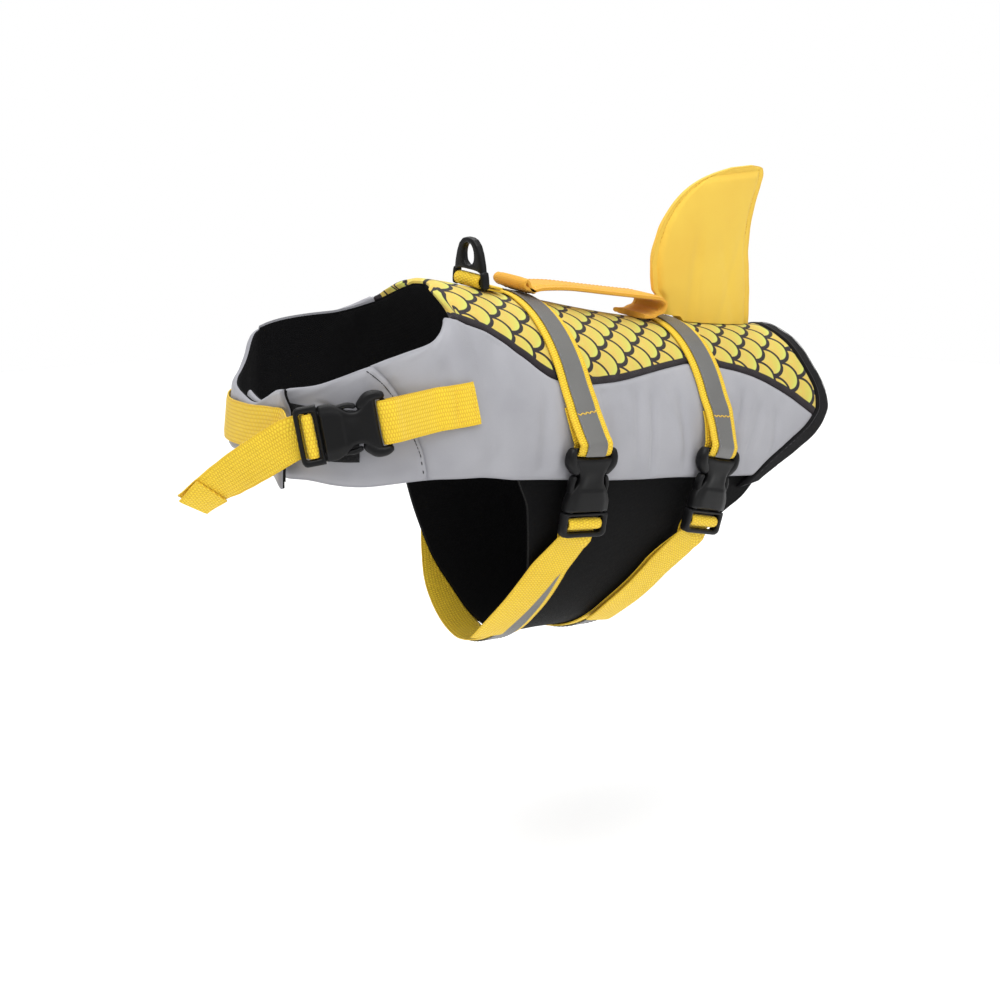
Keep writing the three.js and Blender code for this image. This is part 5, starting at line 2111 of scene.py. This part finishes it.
@dataclass(frozen=True)
class Neck:
    """The neck loop, strap and buckle, by where the buckle's bar and its lock lie."""

    bar_end: Triple = (-50.9, 54.6, 12.8)
    lock_end: Triple = (-65.6, 61.8, 19.4)
    hem: float = 13.5
    tail_across: Triple = (0.7, -0.28, 0.86)

    def loop(self, seat: Seat) -> Ribbon:
        """The loop from the side panel to the buckle's bar and back.

        Args:
            seat: The buckle's frame.

        Returns:
            Its strip.
        """
        height_at = Column(*zip(*NECK_ROWS))

        def along(start: float, end: float, offset: Callable[[float], float]) -> Route:
            """A route along the left of the neck edge.

            Args:
                start: The place where it starts.
                end: The place where it ends.
                offset: Its height over the inside, by place.

            Returns:
                The route.
            """
            def at(t: float) -> Triple:
                """The route at one share."""
                place = mix(start, end, t)
                return place, float(FORM.angle_at_height(place, height_at(place))), offset(place)

            return at

        return webbing_strip("neck_loop_webbing", join([
            laid(3, along(-25, -31, lambda place: LAID)),
            run_into(4, along(-31, -46, lambda place: LAID), seat, LOOP_ROWS[0]),
            seat.stations(LOOP_ROWS),
            run_into(4, along(-31, -46, lambda place: LAID + LAYER), seat, LOOP_ROWS[-1]).reversed(),
            laid(9, along(-31, -9.5, lambda place: LAID + LAYER * float(smooth(20, 25, -place)))),
        ]), "neck_loop", ("side_panel_left_cloth",), step=1.2)

    def strap(self, seat: Seat) -> Ribbon:
        """The strap from the far side round the chest, through the lock and out to its free end.

        Args:
            seat: The buckle's frame.

        Returns:
            Its strip.
        """
        height_at = Column(*zip(*FAR_ROWS))

        def far(t: float) -> Triple:
            """The route from the right round the chest."""
            place = mix(-12, -105, t)
            angle = -float(FORM.angle_at_height(place, height_at(place)))
            return place, angle, float(wing_lift(place)) + LAID + 0.4

        start = laid(34, far)
        across = unit(np.array(self.tail_across))
        across = across * (-1 if np.dot(seat.x, across) < 0 else 1)
        last = start.across[-1] * (1 if np.dot(start.across[-1], seat.x) >= 0 else -1)
        through = seat.stations(LADDER_ROWS)
        half_way = (start.middle[-1] + through.middle[0]) / 2
        count = len(TAIL_ROWS)
        turned = unit(np.array([mix(seat.x, across, (i + 1) / count) for i in range(count)]))
        run = join([start, Stations(half_way[None], unit(last + seat.x)[None]), through,
                    Stations(np.array(TAIL_ROWS, float), turned)])
        return webbing_strip("neck_strap_webbing", run, "neck_strap", ("chest_wing_right_cloth",), step=1.4)

    def build(self) -> None:
        """Makes both strips, their box and zigzag stitches, the strap's folded hem and the buckle."""
        seat = Seat.between(self.bar_end, self.lock_end)
        loop, strap = self.loop(seat), self.strap(seat)
        loop.build()
        strap.build()
        box_start = loop.frames()[3][-1] - 13.0
        sewn = [point for offset in (-8.2, 8.2) for point in loop.stitch_points(offset, box_start, -2.4, 2.6)]
        sewn += tack(loop, -2.6, 8.4, 9) + tack(loop, -13.0, 8.4, 9)
        sewn += tack(strap, -12.5, 10.6, 12) + tack(strap, 4.0, 10.0, 11)
        stitches("neck_tacks", sewn, 1.9, 0.5, Cloth.YELLOW_THREAD, "yellow_webbing")
        middle, side, out, length = strap.frames()
        first = int(np.argmin(np.abs(length - (length[-1] - self.hem))))
        under = middle[first:] - out[first:] * np.linspace(1.75, 3.4, len(middle) - first)[:, None]
        webbing_strip("neck_strap_hem", Stations(under, side[first:]), "", ("neck_strap_webbing",), step=1.4,
                      held="folded").build()
        Buckle("neck", seat).build()


@dataclass(frozen=True)
class Jacket:
    """The whole jacket, put together from its pieces."""

    straps: tuple[GirthStrap, ...] = (
        GirthStrap("front_girth", 64.5, (60.4, 82.1, 9.5), (55.6, 103.9, 9.5), 152.0, 17.0),
        GirthStrap("rear_girth", 66.5, (160.3, 85.5, 9.5), (149.0, 108.5, 9.5), 154.0, 2.0),
    )

    def girth_straps(self) -> None:
        """Makes both girth straps with their tapes, buckles and stitches."""
        for strap in self.straps:
            name = strap.name
            web, tape = strap.route()
            webbing_strip(name + "_strap_webbing", web, name + "_strap",
                          ("back_panel_cloth", "side_panel_left_cloth"), step=1.5).build()
            band = Ribbon(name + "_tape_reflective", tape, TAPE_WIDTH, TAPE, Cloth.TAPE, "reflective_tape",
                          (name + "_tape",), (name + "_strap_webbing",))
            band.build()
            inset = TAPE_WIDTH / 2 - 0.9
            rows = [
                point for offset in (-inset, inset) for point in band.stitch_points(offset, 2.0, -2.0, 3.1)
            ]
            stitches(name + "_tape_stitches", rows, 2.1, 0.34, Cloth.GREY_THREAD, "reflective_tape")
            ends = tack(band, 25.0, 6.6, 8) + tack(band, -4.0, 6.0, 8)
            stitches(name + "_tacks", ends, 2.0, 0.8, Cloth.YELLOW_THREAD, "yellow_webbing")
            Buckle(name, strap.seat()).build()

    def sewing(self) -> None:
        """Makes the stitch rows along the seams."""
        stitches("chest_seam_stitches", surface_stitches(chest_line, 34), 2.0, 0.62, Cloth.BLACK_THREAD,
                 "grey_cloth")
        rows = surface_stitches(binding_line(0.16), 150) + surface_stitches(binding_line(0.88), 150)
        stitches("binding_stitches", rows, 2.4, 0.34, Cloth.BLACK_THREAD, "binding")

    def build(self) -> None:
        """Makes every piece."""
        for panel in foam_panels():
            panel.build()
        self.girth_straps()
        Neck().build()
        self.sewing()
        for part in (LeashRing(), Fin(), Handle()):
            part.build()


@dataclass(frozen=True)
class Studio:
    """The pale floor, the soft lights and the camera at the photograph's angle."""

    floor_height: float = -0.33
    floor_reach: float = 1.45
    sky: float = 0.5
    lens: float = 82.8
    camera_at: Triple = (1.0116, -0.7983, 0.2619)
    back: Triple = (0.7777, -0.5650, 0.2756)
    right: Triple = (0.5878, 0.8090, 0.0)
    up: Triple = (-0.2230, 0.1620, 0.9613)
    faced: Triple = (0, 0, -0.03)

    def place(self, name: str, data: bpy.types.ID) -> bpy.types.Object:
        """Adds an object to the scene."""
        made = bpy.data.objects.new(name, data)
        bpy.context.scene.collection.objects.link(made)
        return made

    def camera(self) -> None:
        """Adds the camera."""
        data = bpy.data.cameras.new("camera")
        data.lens, data.sensor_width = self.lens, 36.0
        made = self.place("camera", data)
        turn = Matrix((self.right, self.up, self.back)).transposed()
        made.matrix_world = Matrix.Translation(Vector(self.camera_at)) @ turn.to_4x4()
        bpy.context.scene.camera = made

    def floor(self) -> None:
        """Adds the floor."""
        mesh = bmesh.new()
        bmesh.ops.create_circle(mesh, cap_ends=True, segments=96, radius=self.floor_reach)
        data = bpy.data.meshes.new("floor")
        mesh.to_mesh(data)
        mesh.free()
        material = bpy.data.materials.new("pale_floor")
        material.use_nodes = True
        shader = material.node_tree.nodes["Principled BSDF"]
        shader.inputs["Base Color"].default_value = (0.97, 0.97, 0.97, 1)
        shader.inputs["Roughness"].default_value = 0.9
        shader.inputs["Specular IOR Level"].default_value = 0.1
        data.materials.append(material)
        made = self.place("floor", data)
        made.location.z = self.floor_height

    def light(self, name: str, at: Sequence[float], size: float, power: float) -> None:
        """Adds one soft light that faces the jacket.

        Args:
            name: Its name.
            at: Where it stands, in metres.
            size: Its side.
            power: Its power in watts.
        """
        data = bpy.data.lights.new(name, "AREA")
        data.size, data.energy = size, power
        made = self.place(name, data)
        made.location = at
        made.rotation_euler = (Vector(at) - Vector(self.faced)).to_track_quat("Z", "Y").to_euler()

    def world(self) -> None:
        """Adds a white world that lights the scene less than it shows."""
        world = bpy.data.worlds.new("studio")
        world.use_nodes = True
        ground = world.node_tree.nodes["Background"]
        ground.inputs["Color"].default_value = (1, 1, 1, 1)
        kit = Tree(world.node_tree)
        seen = kit.node("LightPath").outputs["Is Camera Ray"]
        kit.feed(ground.inputs["Strength"], kit.stretched(seen, 1.0 - self.sky, self.sky))
        bpy.context.scene.world = world
        bpy.context.scene.view_settings.view_transform = "Standard"

    def build(self) -> None:
        """Adds everything."""
        self.camera()
        self.floor()
        self.world()
        self.light("key", (0.5, -0.9, 1.9), 1.5, 22.0)
        self.light("fill", (1.7, 0.5, 1.0), 1.5, 8.0)
        self.light("rim", (-1.2, 0.5, 1.5), 1.2, 12.0)
        self.light("sweep", (0.0, 0.0, 3.6), 5.0, 90.0)


def main() -> None:
    """Builds the jacket and its studio."""
    logging.basicConfig(level=logging.INFO, format="%(message)s")
    Studio().build()
    Jacket().build()


if __name__ == "__main__":
    main()
